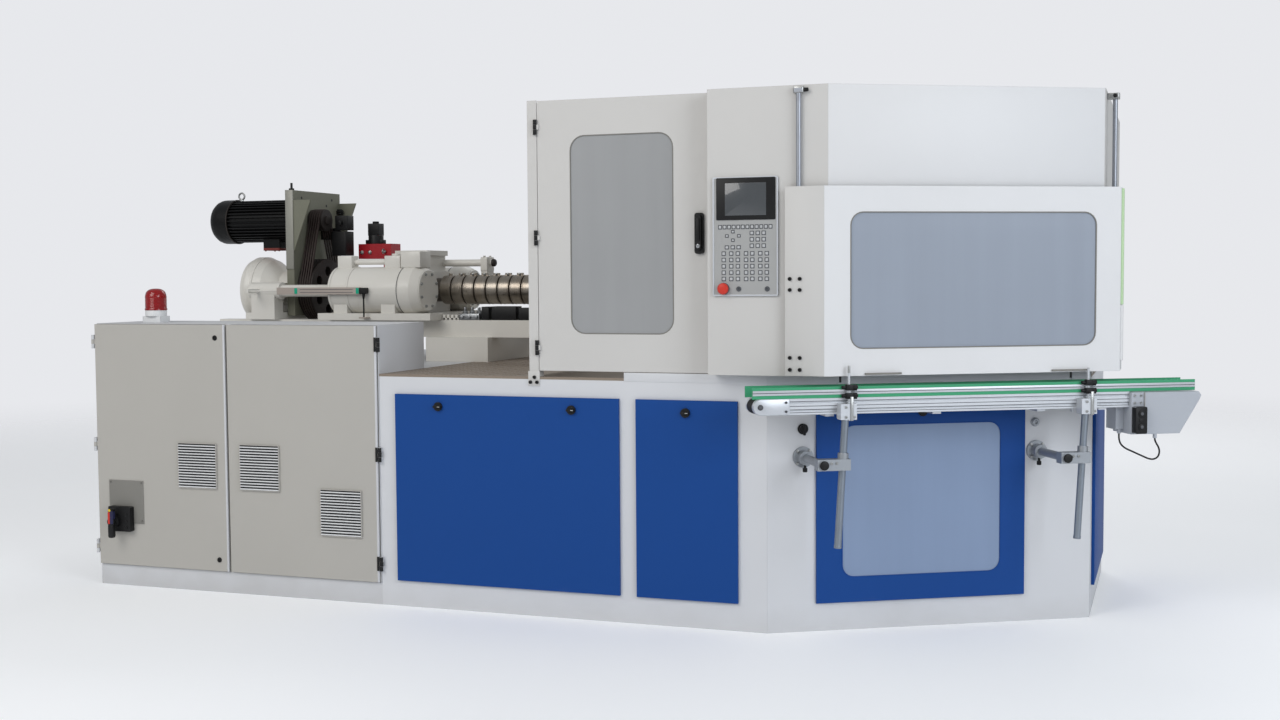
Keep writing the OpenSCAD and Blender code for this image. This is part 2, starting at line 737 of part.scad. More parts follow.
module guard_rails() {
    block_h = 18;
    low = guard_z0 + 1;
    top = guard_z1 - 34;
    color("silver") {
        rod_z(rail_x, rail_y, [low, top + block_h], rail_d);
        rod_z(right_rail.x, right_rail.y, [low, top + block_h], rail_d);
        for (z = [low, top]) {
            box(span(rail_x, 18), [rail_y - rail_d / 2 - 1, column_y], [z, z + block_h]);
            box([end_x, right_rail.x + 16], span(right_rail.y, 18), [z, z + block_h]);
        }
    }
}
module control_panel() {
    color("lightgray") difference() {
        facing([column_y - panel_box_d, column_y]) soft_rect(panel_box, panel_box_z, 8);
        rod_y(stop_at.x, [column_y - panel_box_d - 1, column_y + 1], stop_at.y, stop_shaft_d + run_fit);
    }
}
module emergency_stop() {
    shaft_r = stop_shaft_d / 2;
    stop = [[0, 0], [shaft_r, 0], [shaft_r, 18], [16, 18], [20, 22], [20, 30], [17, 34], [0, 36]];
    color("red") translate([stop_at.x, column_y, stop_at.y]) rotate([90, 0, 0])
        rotate_extrude() polygon(stop);
}
module lift_window_shape(grow) {
    soft_rect([lift_window_s[0] - grow, lift_window_s[1] + grow],
        [lift_window_z[0] - grow, lift_window_z[1] + grow], lift_window_r + grow);
}
module lift_guard() {
    end = chamfer_at(lift_s1, lift_out);
    corner = chamfer_at(lift_s0, lift_out);
    path = [[corner.x - lift_wing, lift_y], corner, end, [end.x, end.y + lift_return]];
    bush_x = [rail_x - 44, rail_x + 36];
    pull_w = 166;
    pull_t = 6;
    color("white") {
        difference() {
            upright(sheet_outline(path, sheet_t), [lift_z0, lift_top]);
            on_chamfer() facing([-lift_out - 1, -lift_out + sheet_t + 1]) lift_window_shape(0);
        }
        for (z = bush_zs) difference() {
            box(bush_x, [lift_y + sheet_t / 2, column_y - gap], [z, z + bush_h]);
            rod_z(rail_x, rail_y, [z - 1, z + bush_h + 1], rail_d + run_fit);
        }
        for (z = bush_zs) difference() {
            box([end_x + gap, end.x - sheet_t / 2], span(right_rail.y, 30), [z, z + bush_h]);
            rod_z(right_rail.x, right_rail.y, [z - 1, z + bush_h + 1], rail_d + run_fit);
        }
        on_chamfer() for (s = [lift_s0 + 187, lift_s1 - 333])
            box([s, s + pull_w], [-lift_out - 14, -lift_out + 1], [lift_z0 + pull_t, lift_z0 + 2 * pull_t]);
    }
}
module lift_window() {
    color("lightsteelblue") on_chamfer() facing([-lift_out + sheet_t, -lift_out + sheet_t + pane_t])
        lift_window_shape(20);
}

// Press
function rod_y_at(i) = (i - (rod_n - 1) / 2) * rod_pitch;
module cavities(z) {
    for (i = [0:rod_n - 1])
        rod_x([mould_r[0] - 1, rod_end + 40], rod_y_at(i), z, cavity_d);
}
module lower_platen() {
    reach = 780;
    half = 560;
    pedestal_d = 1000;
    manifold_x = [mould_r[1] + 4, nozzle_seat_r];
    corners = [for (a = [60, 180, 300], side = [-half, half])
        [reach * cos(a) - side * sin(a), reach * sin(a) + side * cos(a)]];
    color("dimgray") {
        difference() {
            union() {
                upright(corners, [lower_top - lower_t, lower_top]);
                rod_z(0, 0, [base_h, lower_top - lower_t + 1], pedestal_d);
            }
            rod_z(0, 0, [base_h + 40, lower_top + 1], spindle_d + run_fit);
        }
        for (a = STATIONS) at_station(a) difference() {
            box(mould_r, [-mould_half, mould_half], [lower_top - 1, parting_z]);
            cavities(parting_z);
        }
        at_station(STATIONS[0]) {
            box(manifold_x, [-250, 250], [lower_top - 1, parting_z + 60]);
        }
        at_station(STRIP_STATION) for (y = [-strip_bar_y, strip_bar_y]) {
            rod_x([500, 770], y, lower_top + 40, strip_bar_d);
            for (x = [500, 750]) box([x, x + 20], span(y, 25), [lower_top - 1, lower_top + 65]);
        }
    }
}
module press_crowns() {
    color("gainsboro") for (a = STATIONS) at_station(a) {
        for (y = [-tie_side, tie_side]) {
            rod_z(tie_radial, y, [lower_top, crown_z + 1], tie_d);
            rod_z(tie_radial, y, [crown_z + crown_t - 1, crown_z + crown_t + 50], tie_d + 40);
        }
        difference() {
            union() {
                box([440, 740], [-platen_half, platen_half], [crown_z, crown_z + crown_t]);
                rod_z(tie_radial, 0, [crown_z + crown_t - 1, crown_z + crown_t + 180], 240);
            }
            rod_z(tie_radial, 0, [crown_z - 1, crown_z + crown_t + 170], clamp_rod_d + run_fit);
        }
    }
}
// A moving platen with its upper mould half and the piston rod of its clamp cylinder
module upper_platen(angle) {
    low = upper_open;
    at_station(angle) {
        difference() {
            box(platen_r, [-platen_half, platen_half], [low, low + platen_h]);
            for (y = [-tie_side, tie_side])
                rod_z(tie_radial, y, [low - 1, low + platen_h + 1], tie_d + run_fit);
        }
        difference() {
            box(mould_r, [-mould_half, mould_half], [low - mould_h + gap, low + 1]);
            cavities(low - mould_h);
        }
        rod_z(tie_radial, 0, [low + platen_h - 1, crown_z + crown_t + 160], clamp_rod_d);
    }
}
module injection_platen() {
    color("darkgray") upper_platen(STATIONS[0]);
}
module blow_platen() {
    color("darkgray") upper_platen(STATIONS[1]);
}
module lift_spindle() {
    color("silver") {
        rod_z(0, 0, [base_h + 140, table_up - bar_h - gap], spindle_d);
        rod_z(0, 0, [table_up - bar_h - 25, table_up - bar_h - gap], 220);
        rod_z(0, 0, [table_up - bar_h - 1, table_up + bar_h], table_pin_d);
    }
}
module index_table() {
    color("silver") difference() {
        union() {
            rod_z(0, 0, [table_up - bar_h, table_up + bar_h], 2 * table_r - 40);
            for (a = [60, 180, 300]) at_station(a) {
                box([250, table_r + 45], [-260, 260], [table_up - bar_h / 2, table_up + bar_h / 2]);
                for (i = [0:rod_n - 1])
                    rod_x([table_r + 40, rod_end], rod_y_at(i), table_up, rod_d);
            }
        }
        rod_z(0, 0, [table_up - 2 * bar_h, table_up + 2 * bar_h], table_pin_d + run_fit);
    }
}
module stripper() {
    guide_z = lower_top + 40;
    comb_r = table_r + 62;
    half = 230;
    color("silver") at_station(STRIP_STATION) {
        difference() {
            union() {
                box([comb_r + 75, comb_r + 150], [-half, half], [guide_z - 25, guide_z + 26]);
                box([comb_r, comb_r + 150], [-half, half], [guide_z + 25, guide_z + 37]);
                box([comb_r, comb_r + 12], [-half, half], [guide_z + 36, parting_z + 30]);
            }
            for (y = [-strip_bar_y, strip_bar_y])
                rod_x([comb_r, comb_r + 200], y, guide_z, strip_bar_d + run_fit);
            for (i = [0:rod_n - 1])
                box([comb_r - 1, comb_r + 13], span(rod_y_at(i), 18), [parting_z - 20, parting_z + 31]);
        }
    }
}

// Plasticising unit
module slide_bed() {
    color("whitesmoke") {
        for (side = [-1, 1]) {
            y = side > 0 ? beam_y : [-beam_y[1], -beam_y[0]];
            box([bed_x0 + 10, -900], y, [beam_low, beam_top]);
        }
        for (x = [[bed_x0 + 332, bed_x0 + 732], [base_x0 - 288, base_x0 + 102], [-1100, -920]])
            box(x, [-bed_foot_half, bed_foot_half], [base_h, beam_low + 1]);
    }
}
module carriage() {
    foot = beam_top + gap;
    color("whitesmoke") difference() {
        union() {
            box([-3060, -2330], [-ram_y - 120, ram_y + 120], [foot, foot + 40]);
            for (side = [-1, 1], x = [-2960, -2650])
                box([x, x + 90], span(side * ram_y, 110), [foot + 30, unit_z - 50]);
            box(feed_x, [-150, 150], [foot + 40, unit_z + 110]);
            box([feed_x[0] + 12, feed_x[1] - 12], [-120, 120], [unit_z + 110, feed_top - 30]);
            box(feed_x, [-130, 130], [feed_top - 30, feed_top]);
            rod_x([feed_x[1] - 95, pipe_end_x], pipe_y, unit_z + 158, pipe_d);
            box([pipe_end_x - 69, pipe_end_x - 29], span(pipe_y, 45), [unit_z + 60, unit_z + 190]);
        }
        for (side = [-1, 1]) {
            rod_x([-3070, -2300], side * ram_y, unit_z, ram_d);
            rod_x([ram_x[1] - 1, cap_x1 + 1], side * ram_y, unit_z, ram_d + 17);
        }
        rod_x([feed_x[0] - 1, feed_x[1] + 1], 0, unit_z, barrel_d);
        rod_z((feed_x[0] + feed_x[1]) / 2, 0, [unit_z, feed_top + 1], throat_d);
        rod_x([-2400, -2150], 0, unit_z, band_d + 2);
        for (x = [feed_x[0] + 30, feed_x[1] - 30], y = [-100, 100])
            rod_z(x, y, [feed_top - 24, feed_top + 1], feeder_bolt_d);
    }
}
module injection_cylinders() {
    outline = [[0, ram_x[0]], [ram_d / 2, ram_x[0]], [ram_d / 2, ram_x[1]], [ram_d / 2 + 8, ram_x[1] + 10],
        [ram_d / 2 + 8, cap_x1 - 50], [ram_d / 2 - 14, cap_x1], [0, cap_x1]];
    color("whitesmoke") for (side = [-1, 1]) translate([0, side * ram_y, unit_z]) difference() {
        rotate([0, 90, 0]) rotate_extrude() polygon(outline);
        rod_x([ram_x[0] - 1, ram_x[0] + 60], 0, 0, piston_rod_d + run_fit);
        rod_x([ram_x[0] + 50, cap_x1 - 60], 0, 0, ram_bore_d);
    }
}
module barrel() {
    color("gray") difference() {
        union() {
            rod_x(barrel_x, 0, unit_z, barrel_d - gap);
            translate([barrel_x[1], 0, unit_z]) rotate([0, 90, 0]) cylinder(d1 = 110, d2 = 60, h = 90);
            rod_x([barrel_x[1] + 90, nozzle_x], 0, unit_z, 60);
        }
        rod_x([barrel_x[0] - 1, barrel_x[1] - 60], 0, unit_z, screw_d + run_fit);
        rod_x([barrel_x[1] - 61, nozzle_x + 1], 0, unit_z, 16);
        rod_z((feed_x[0] + feed_x[1]) / 2, 0, [unit_z, unit_z + 200], throat_d - 20);
    }
}
module heater_bands() {
    color("rosybrown") for (i = [0:band_n - 1]) difference() {
        union() {
            rod_x([band_x0 + i * band_pitch, band_x0 + i * band_pitch + band_w], 0, unit_z, band_d);
            box(span(band_x0 + i * band_pitch + band_w / 2, 18), [-9, 9],
                [unit_z + band_d / 2 - 6, unit_z + band_d / 2 + 12]);
        }
        rod_x(span(band_x0 + i * band_pitch + band_w / 2, band_w), 0, unit_z, barrel_d - gap);
    }
}
module transducer() {
    y = gauge_y;
    shelf = [beam_top + 12, beam_top + 20];
    color("silver") {
        difference() {
            box(gauge_x, [y - 25, y], span(unit_z, 20));
            rod_x([gauge_x[0] - 1, gauge_x[1] - 21], y - 12, unit_z, follower_d + 2);
        }
        for (x = [ram_x[0] + 25, gauge_x[1] - 81]) box([x, x + 20], [y - 1, y + 4], span(unit_z, 12));
        box([gauge_x[1] - 1, gauge_x[1] + 44], [y - 27, y + 1], span(unit_z, 16));
        rod_z(gauge_x[1] + 22, y - 13, [shelf[1] - 1, unit_z - 15], 8);
        box([gauge_x[1] - 1, gauge_x[1] + 44], [y - 30, -ram_y - 120], shelf);
    }
}
module valve_block() {
    block_z = [unit_z + 190, unit_z + 282];
    stub_at = [-3050, 255];
    color("firebrick") difference() {
        union() {
            box([-3140, -2913], [195, 315], block_z);
            box([ram_x[0] + 8, -2915], span(stub_at.y, 40), [unit_z + 95, block_z[0] + 1]);
            rod_z(stub_at.x, stub_at.y, [block_z[1] - 1, block_z[1] + 53], 90);
            box(span(stub_at.x, 35), span(stub_at.y, 35), [block_z[1] + 52, block_z[1] + 125]);
        }
        rod_x(ram_x, ram_y, unit_z, ram_d);
    }
}
module crosshead() {
    hub = [[0, hub_x0], [150, hub_x0], [190, hub_x0 + 20], [200, hub_x0 + 48], [200, hub_x0 + 112],
        [185, hub_x0 + 155], [125, hub_x0 + 245], [125, plate_x[0]], [0, plate_x[0]]];
    foot = beam_top + gap;
    foot_x1 = plate_x[0] - 8;
    arm_x1 = plate_x[0] - 108;
    color("whitesmoke") difference() {
        union() {
            translate([0, 0, unit_z]) rotate([0, 90, 0]) rotate_extrude() polygon(hub);
            box([plate_x[0] - 178, plate_x[0] - 48], [-ram_y, ram_y], [unit_z - 70, unit_z + 45]);
            for (side = [-1, 1]) {
                rod_x([plate_x[0] - 187, plate_x[0] + 22], side * ram_y, unit_z, 100);
                rod_x([plate_x[0] + 21, ram_x[0] + 280], side * ram_y, unit_z, piston_rod_d);
                rod_x([ram_x[0] + 250, ram_x[0] + 300], side * ram_y, unit_z, ram_bore_d - run_fit);
                box([plate_x[0] - 168, foot_x1], span(side * ram_y, 45), [foot, unit_z]);
            }
            box([plate_x[0] - 208, foot_x1], [-bed_foot_half, bed_foot_half], [foot, foot + 40]);
            box([plate_x[0] - 248, plate_x[0] - 48], [-110, 110], [foot, unit_z - 90]);
            rod_x([arm_x1 - 1, gauge_x[0] + 39], gauge_y - 12, unit_z, follower_d);
            box([arm_x1 - 20, arm_x1], [gauge_y - 22, -ram_y], span(unit_z, 12));
        }
        rod_x([hub_x0 - 5, plate_x[0] + 1], 0, unit_z, hub_bore_d + run_fit);
    }
}
module motor_plate() {
    half = 215;
    rear = half + 105;
    web_t = 12;
    color("gray") difference() {
        union() {
            box(plate_x, [-half, half], [unit_z - 150, motor_z + 175]);
            box(plate_x, [half - 1, rear], [unit_z + 130, motor_z + 175]);
            for (y = [-half, rear - web_t]) facing([y, y + web_t])
                polygon([[plate_x[1] - 1, motor_z + 115], [plate_x[1] + 120, motor_z + 115],
                    [plate_x[1] - 1, unit_z + 230]]);
        }
        rod_x([plate_x[0] - 1, plate_x[1] + 1], 0, unit_z, hub_bore_d + run_fit);
        rod_x([plate_x[0] - 1, plate_x[1] + 1], 0, motor_z, shaft_d + 40);
    }
}
module drive_motor() {
    fin_n = 36;
    body_d = motor_d - 40;
    cowl = motor_x0 + 130;
    dome = 50;
    face = plate_x[0];
    color("black") difference() {
        union() {
            rod_x([cowl, face - 40], 0, motor_z, body_d);
            for (i = [0:fin_n - 1]) translate([0, 0, motor_z]) rotate([i * 360 / fin_n, 0, 0])
                box([cowl, face - 60], [-3, 3], [body_d / 2 - 6, motor_d / 2 - 4]);
            translate([motor_x0, 0, motor_z]) rotate([0, 90, 0])
                cylinder(d1 = motor_d - 90, d2 = motor_d, h = dome);
            rod_x([motor_x0 + dome, cowl], 0, motor_z, motor_d);
            rod_x([face - 40, face], 0, motor_z, motor_d + 24);
            box([cowl + 230, face - 150], [-60, 60],
                [motor_z - motor_d / 2 - 36, motor_z - body_d / 2 + 10]);
        }
        rod_x([face - 30, face + 1], 0, motor_z, shaft_d + run_fit);
    }
}
// A pulley outline with its V grooves, turned about the X axis
module grooved_pulley(z, d) {
    depth = 11;
    wide = groove_pitch * 0.42;
    slim = groove_pitch * 0.26;
    outline = concat([[0, pulley_x[0]], [d / 2, pulley_x[0]]],
        [for (i = [1:belt_n], p = [[0, -wide], [-depth, -slim], [-depth, slim], [0, wide]])
            [d / 2 + p[0], pulley_x[0] + i * groove_pitch + p[1]]],
        [[d / 2, pulley_x[1]], [0, pulley_x[1]]]);
    translate([0, 0, z]) rotate([0, 90, 0]) rotate_extrude() polygon(outline);
}
module motor_pulley() {
    color("dimgray") {
        grooved_pulley(motor_z, small_pulley_d);
        rod_x([plate_x[0] - 30 + gap, pulley_x[1] + 10], 0, motor_z, shaft_d);
    }
}
module screw() {
    shank = screw_d - 14;
    tip = barrel_x[1] - 61 - inject_stroke;
    web = 60;
    color("dimgray") {
        difference() {
            grooved_pulley(unit_z, large_pulley_d);
            for (a = [0:60:300]) translate([0, 0, unit_z]) rotate([a, 0, 0])
                rod_x([pulley_x[0] - 1, pulley_x[1] + 1], 0, 115, web);
        }
        rod_x([hub_x0 + 15, pulley_x[0] + 1], 0, unit_z, hub_bore_d);
        rod_x([pulley_x[1], barrel_x[0] - 10], 0, unit_z, screw_d);
        rod_x([barrel_x[0] - 10, tip - 80], 0, unit_z, screw_d);
        translate([tip - 80, 0, unit_z]) rotate([0, 90, 0]) cylinder(d1 = shank, d2 = 12, h = 70);
    }
}
// One V-belt as a flat loop round both pulleys, tangent to each
module belt_loop(grow) {
    r0 = large_pulley_d / 2 - 10 + gap + grow;
    r1 = small_pulley_d / 2 - 10 + gap + grow;
    lean = asin((r0 - r1) / motor_rise);
    circle(r = r0);
    translate([0, motor_rise]) circle(r = r1);
    polygon([[-r0 * cos(lean), r0 * sin(lean)], [r0 * cos(lean), r0 * sin(lean)],
        [r1 * cos(lean), motor_rise + r1 * sin(lean)], [-r1 * cos(lean), motor_rise + r1 * sin(lean)]]);
}
module drive_belts() {
    belt_w = groove_pitch * 0.46;
    color("saddlebrown") for (i = [1:belt_n])
        translate([pulley_x[0] + i * groove_pitch - belt_w / 2, 0, unit_z]) rotate([90, 0, 90])
            linear_extrude(belt_w) difference() {
                belt_loop(belt_t);
                belt_loop(0);
            }
}

// Conveyor
module leaning(s) {
    translate([s, -post_out, arm_z]) rotate([0, post_lean, 0]) translate([0, 0, -arm_z]) children();
}
module support_arms() {
    flange_t = 12;
    hub_end = 60;
    color("silver") on_chamfer() for (i = [0, 1]) difference() {
        union() {
            rod_y(arm_s[i], [-flange_t, 0], arm_z, 96);
            rod_y(arm_s[i], [-hub_end, -flange_t + 1], arm_z, 64);
            rod_y(arm_s[i], [-post_out - arm_end, -hub_end + 1], arm_z, arm_d);
            box([arm_s[i] - 28, post_s[i] + 30], span(-post_out, clamp_half), span(arm_z, 25));
            leaning(post_s[i]) rod_z(0, 0, [arm_z + 20, arm_z + 50], 48);
        }
        leaning(post_s[i]) rod_z(0, 0, [arm_z - 100, arm_z + 100], post_d + run_fit);
    }
}
module conveyor_frame() {
    bottom = conv_top - conv_h;
    mid = bottom + conv_h / 2;
    slot = 6;
    bar_w = 40;
    stem_d = 12;
    color("gainsboro") on_chamfer() {
        for (d = [conv_d[0], conv_d[1] - conv_side]) difference() {
            union() {
                box([conv_s0, drive_s], [-d - conv_side, -d], [bottom, conv_top]);
                rod_y(conv_s0, [-d - conv_side, -d], mid, conv_h);
            }
            for (z = [bottom + 16, conv_top - 22], y = [-d - conv_side - 1, -d - 5])
                box([conv_s0 + 130, drive_s + 1], [y, y + slot], [z, z + slot]);
            rod_y(roller_s, [-d - conv_side - 1, -d + 1], mid, roller_shaft_d + run_fit);
        }
        for (s = [conv_s0 + 300, conv_s0 + 800, drive_s - 440, drive_s - 140])
            box([s, s + bar_w], [-conv_d[1] + conv_side - 1, -conv_d[0] - conv_side + 1],
                [bottom - 12, bottom + 1]);
        for (i = [0, 1]) {
            leaning(post_s[i]) rod_z(0, 0, [post_z[0], post_z[1]], post_d);
            difference() {
                box([post_s[i] - 16, post_s[i] + 58], [-post_out - 24, -conv_d[1] + 1],
                    [bottom - 22, bottom + 48]);
                leaning(post_s[i]) rod_z(0, 0, [bottom - 60, post_z[1]], post_d);
            }
            for (d = [conv_d[1] + 14, conv_d[0] - 14]) {
                front = d > conv_d[1];
                s = post_s[i] + 34;
                top = front ? conv_top + 110 : conv_top + guide_h + 8;
                rod_z(s, -d, [bottom - 30, top], stem_d);
                box(span(s, 12), front ? [-d - 8, -conv_d[1] + 1] : [-conv_d[0] - 1, -d + 8],
                    [bottom + 20, bottom + 44]);
                box(span(s, 10), front ? [-d, -conv_d[1] - 2] : [-conv_d[0] + 2, -d],
                    [conv_top + 16, conv_top + 34]);
            }
        }
    }
}
module loop_shape(r, s0, s1) {
    mid = conv_top - conv_h / 2;
    translate([s0, mid]) circle(r = r);
    translate([s1, mid]) circle(r = r);
    translate([s0, mid - r]) square([s1 - s0, 2 * r]);
}
module conveyor_belt() {
    inner = roller_d / 2 + gap;
    far = drive_s - 60;
    color("darkslategray") on_chamfer() facing(belt_y) difference() {
        loop_shape(inner + belt_skin, roller_s, far);
        loop_shape(inner, roller_s, far);
    }
}
module guide_rails() {
    rail_t = 8;
    color("mediumseagreen") on_chamfer() for (d = [conv_d[1] - 6, conv_d[0] - 2])
        box([conv_s0 - 40, drive_s + 325], [-d - rail_t, -d], [conv_top, conv_top + guide_h]);
}
module conveyor_drive() {
    top = conv_top - 4;
    low = conv_top - 196;
    wide = 26;
    neck = 63;
    neck_wide = 20;
    side = [[neck - 1, low], [237, low], [335, conv_top - 42], [344, conv_top - 22], [330, top],
        [neck - 1, top]];
    start = CORD_POINTS[0];
    color("lightgray") on_chamfer() {
        translate([drive_s, 0, 0]) {
            facing([-conv_d[1] - wide, -conv_d[0] + wide]) polygon(side);
            box([0, neck], [-conv_d[1] - neck_wide, -conv_d[0] + neck_wide], [low, top]);
            box([-40, 1], [-220, -conv_d[0] + 10], [low + 17, conv_top - conv_h]);
            box([4, 60], [-conv_d[1] - 54, -conv_d[1] - neck_wide + 1], [low + 6, low + 127]);
        }
        translate([drive_s, 0, conv_top]) {
            rod_z(start.x, -start.y, [start.z, low - conv_top + 18], gland_d);
            rod_z(cord_end.x, -cord_end.y, [cord_end.z, low - conv_top + 1], gland_d);
        }
    }
}
module idler_roller() {
    mid = conv_top - conv_h / 2;
    color("silver") on_chamfer() {
        rod_y(roller_s, belt_y, mid, roller_d);
        rod_y(roller_s, [-conv_d[1] - 4, -conv_d[0] + 4], mid, roller_shaft_d);
    }
}
// A tube swept along the cord's route, its rings square to the way it runs
function route_way(i) = let (
    a = CORD_POINTS[max(i - 1, 0)], b = CORD_POINTS[min(i + 1, len(CORD_POINTS) - 1)],
    way = [b.x - a.x, a.y - b.y, b.z - a.z]
) way / norm(way);
function cord_ring(i) = let (
    way = route_way(i), side = cross(way, [0, 1, 0]), u = side / norm(side), v = cross(way, u),
    p = CORD_POINTS[i]
) [for (k = [0:cord_sides - 1]) let (turn = k * 360 / cord_sides)
    [drive_s + p.x, -p.y, conv_top + p.z] + cord_d / 2 * (cos(turn) * u + sin(turn) * v)];
module drive_cord() {
    n = len(CORD_POINTS);
    m = cord_sides;
    color("black") on_chamfer() polyhedron(
        points = [for (i = [0:n - 1]) each cord_ring(i)],
        faces = concat([[for (k = [0:m - 1]) k]], [[for (k = [m - 1:-1:0]) (n - 1) * m + k]],
            [for (i = [0:n - 2], k = [0:m - 1])
                [i * m + (k + 1) % m, i * m + k, (i + 1) * m + k, (i + 1) * m + (k + 1) % m]])
    );
}

floor_plate();
front_frame();
chamfer_frame();
base_back_walls();
injection_bed();
base_deck();
cabinet_shell();
cabinet_left_door();
cabinet_right_door();
isolator_handle();
switchgear();
beacon_lens();
power_pack();
large_panel();
small_panel();
chamfer_panel();
chamfer_window();
latch_left();
latch_right();
latch_small();
latch_chamfer();
guard_left_wall();
guard_column();
guard_upper_panel();
guard_back_walls();
guard_rails();
control_panel();
emergency_stop();
guard_door();
guard_window();
guard_handle();
lift_guard();
lift_window();
lower_platen();
press_crowns();
injection_platen();
blow_platen();
lift_spindle();
index_table();
stripper();
slide_bed();
carriage();
injection_cylinders();
barrel();
heater_bands();
transducer();
valve_block();
crosshead();
motor_plate();
drive_motor();
motor_pulley();
screw();
drive_belts();
support_arms();
conveyor_frame();
conveyor_belt();
guide_rails();
conveyor_drive();
idler_roller();
drive_cord();
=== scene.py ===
"""Dresses an injection blow molding machine: a finish for every solid, and the fittings that sit on them.

All sizes are in metres in the machine's own frame: X along the machine towards the take-off end,
Y from the operator side to the rear, Z up, with the origin on the floor under the index table.
"""

import json
import logging
import math
from dataclasses import dataclass
from enum import Enum
from itertools import product
from typing import Any, Iterable, Optional, Sequence

import bmesh
import bpy
from mathutils import Matrix, Vector
from mathutils.geometry import interpolate_bezier

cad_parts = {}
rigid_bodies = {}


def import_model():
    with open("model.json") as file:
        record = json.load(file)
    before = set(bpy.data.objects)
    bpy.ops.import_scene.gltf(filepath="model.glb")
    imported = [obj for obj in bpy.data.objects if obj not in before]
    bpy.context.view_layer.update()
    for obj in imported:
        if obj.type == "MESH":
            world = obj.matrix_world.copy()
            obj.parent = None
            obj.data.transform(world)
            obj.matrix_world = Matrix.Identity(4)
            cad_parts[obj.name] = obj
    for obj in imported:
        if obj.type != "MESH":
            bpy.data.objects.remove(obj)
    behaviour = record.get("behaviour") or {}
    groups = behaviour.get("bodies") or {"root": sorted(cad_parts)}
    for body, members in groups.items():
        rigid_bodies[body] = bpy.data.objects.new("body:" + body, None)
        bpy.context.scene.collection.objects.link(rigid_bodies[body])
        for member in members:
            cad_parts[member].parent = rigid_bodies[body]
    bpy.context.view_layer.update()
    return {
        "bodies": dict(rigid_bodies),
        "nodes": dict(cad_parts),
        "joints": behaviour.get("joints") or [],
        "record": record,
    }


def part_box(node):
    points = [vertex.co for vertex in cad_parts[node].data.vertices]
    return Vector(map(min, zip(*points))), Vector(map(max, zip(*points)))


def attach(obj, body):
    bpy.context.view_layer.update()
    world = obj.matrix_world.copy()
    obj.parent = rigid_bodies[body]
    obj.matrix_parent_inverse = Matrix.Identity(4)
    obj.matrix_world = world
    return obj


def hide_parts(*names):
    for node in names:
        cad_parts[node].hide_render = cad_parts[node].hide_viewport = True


LOG = logging.getLogger("machine")
Point = Sequence[float]
Colour = tuple[float, float, float]
Span = tuple[float, float]
Outline = tuple[Span, ...]
Window = tuple[float, float, float, float]

# Directions of the machine's frame.
ALONG = (1, 0, 0)
LEFT = (-1, 0, 0)
BACK = (0, 1, 0)
OUT = (0, -1, 0)
UP = (0, 0, 1)
DOWN = (0, 0, -1)

# Faces and heights that several assemblies share.
FRONT_Y = -1.395
COLUMN_Y = -1.495
LIFT_Y = -1.525
DOOR_FACE_Y = -1.410
CABINET_TOP = 1.410
DECK_TOP = 1.165
GUARD_LOW = 1.195
GUARD_HIGH = 2.483
UNIT_Z = 1.570
MOTOR_Z = 1.995
DRIVE_S = 1.640
BELT_TOP = 1.104

# Points this close are one point, and directions with so small a product are square to each other.
SAME = 1e-6
SQUARE = 1e-7
CREASE = math.radians(32)
DUST = (0.30, 0.28, 0.25, 1)
HEAT_TINT = (0.27, 0.22, 0.17, 1)
# A cap screw's (radius, height) outline for a radius of one.
SCREW_HEAD = ((0, 0), (1, 0), (1, 0.85), (0.86, 1), (0.52, 1), (0.46, 0.4), (0, 0.4))


def linear(red: int, green: int, blue: int) -> Colour:
    """Turns a colour as seen on a screen, 0 to 255, into the linear values that shaders take."""
    return tuple(((c / 255 + 0.055) / 1.055) ** 2.4 if c > 10 else c / 3294.6 for c in (red, green, blue))


@dataclass(frozen=True)
class ChamferFrame:
    """The chamfered wall's own directions: s along it, d out from it."""

    corner: Span = (-0.112, FRONT_Y)
    angle: float = math.radians(30)

    def matrix(self) -> Matrix:
        """Places what is modelled with x = s, y = -d and z up."""
        return Matrix.Translation((*self.corner, 0)) @ Matrix.Rotation(self.angle, 4, "Z")

    def at(self, s: float, d: float, z: float) -> Vector:
        """The point of the machine's frame at s, d and height z."""
        return self.matrix() @ Vector((s, -d, z))


CHAMFER = ChamferFrame()


class Value:
    """A shader socket that takes part in Python arithmetic."""

    def __init__(self, graph: "Graph", socket: bpy.types.NodeSocket) -> None:
        """Keeps the graph that the socket belongs to."""
        self.graph = graph
        self.socket = socket

    def _math(self, operation: str, first: Any, second: Any) -> "Value":
        """Adds one Math node."""
        return self.graph.node("ShaderNodeMath", {"operation": operation}, {0: first, 1: second})

    def __add__(self, other: Any) -> "Value":
        """Sum."""
        return self._math("ADD", self, other)

    def __mul__(self, other: Any) -> "Value":
        """Product."""
        return self._math("MULTIPLY", self, other)

    def __sub__(self, other: Any) -> "Value":
        """Difference."""
        return self._math("SUBTRACT", self, other)

    def __rsub__(self, other: Any) -> "Value":
        """Difference, the other way round."""
        return self._math("SUBTRACT", other, self)


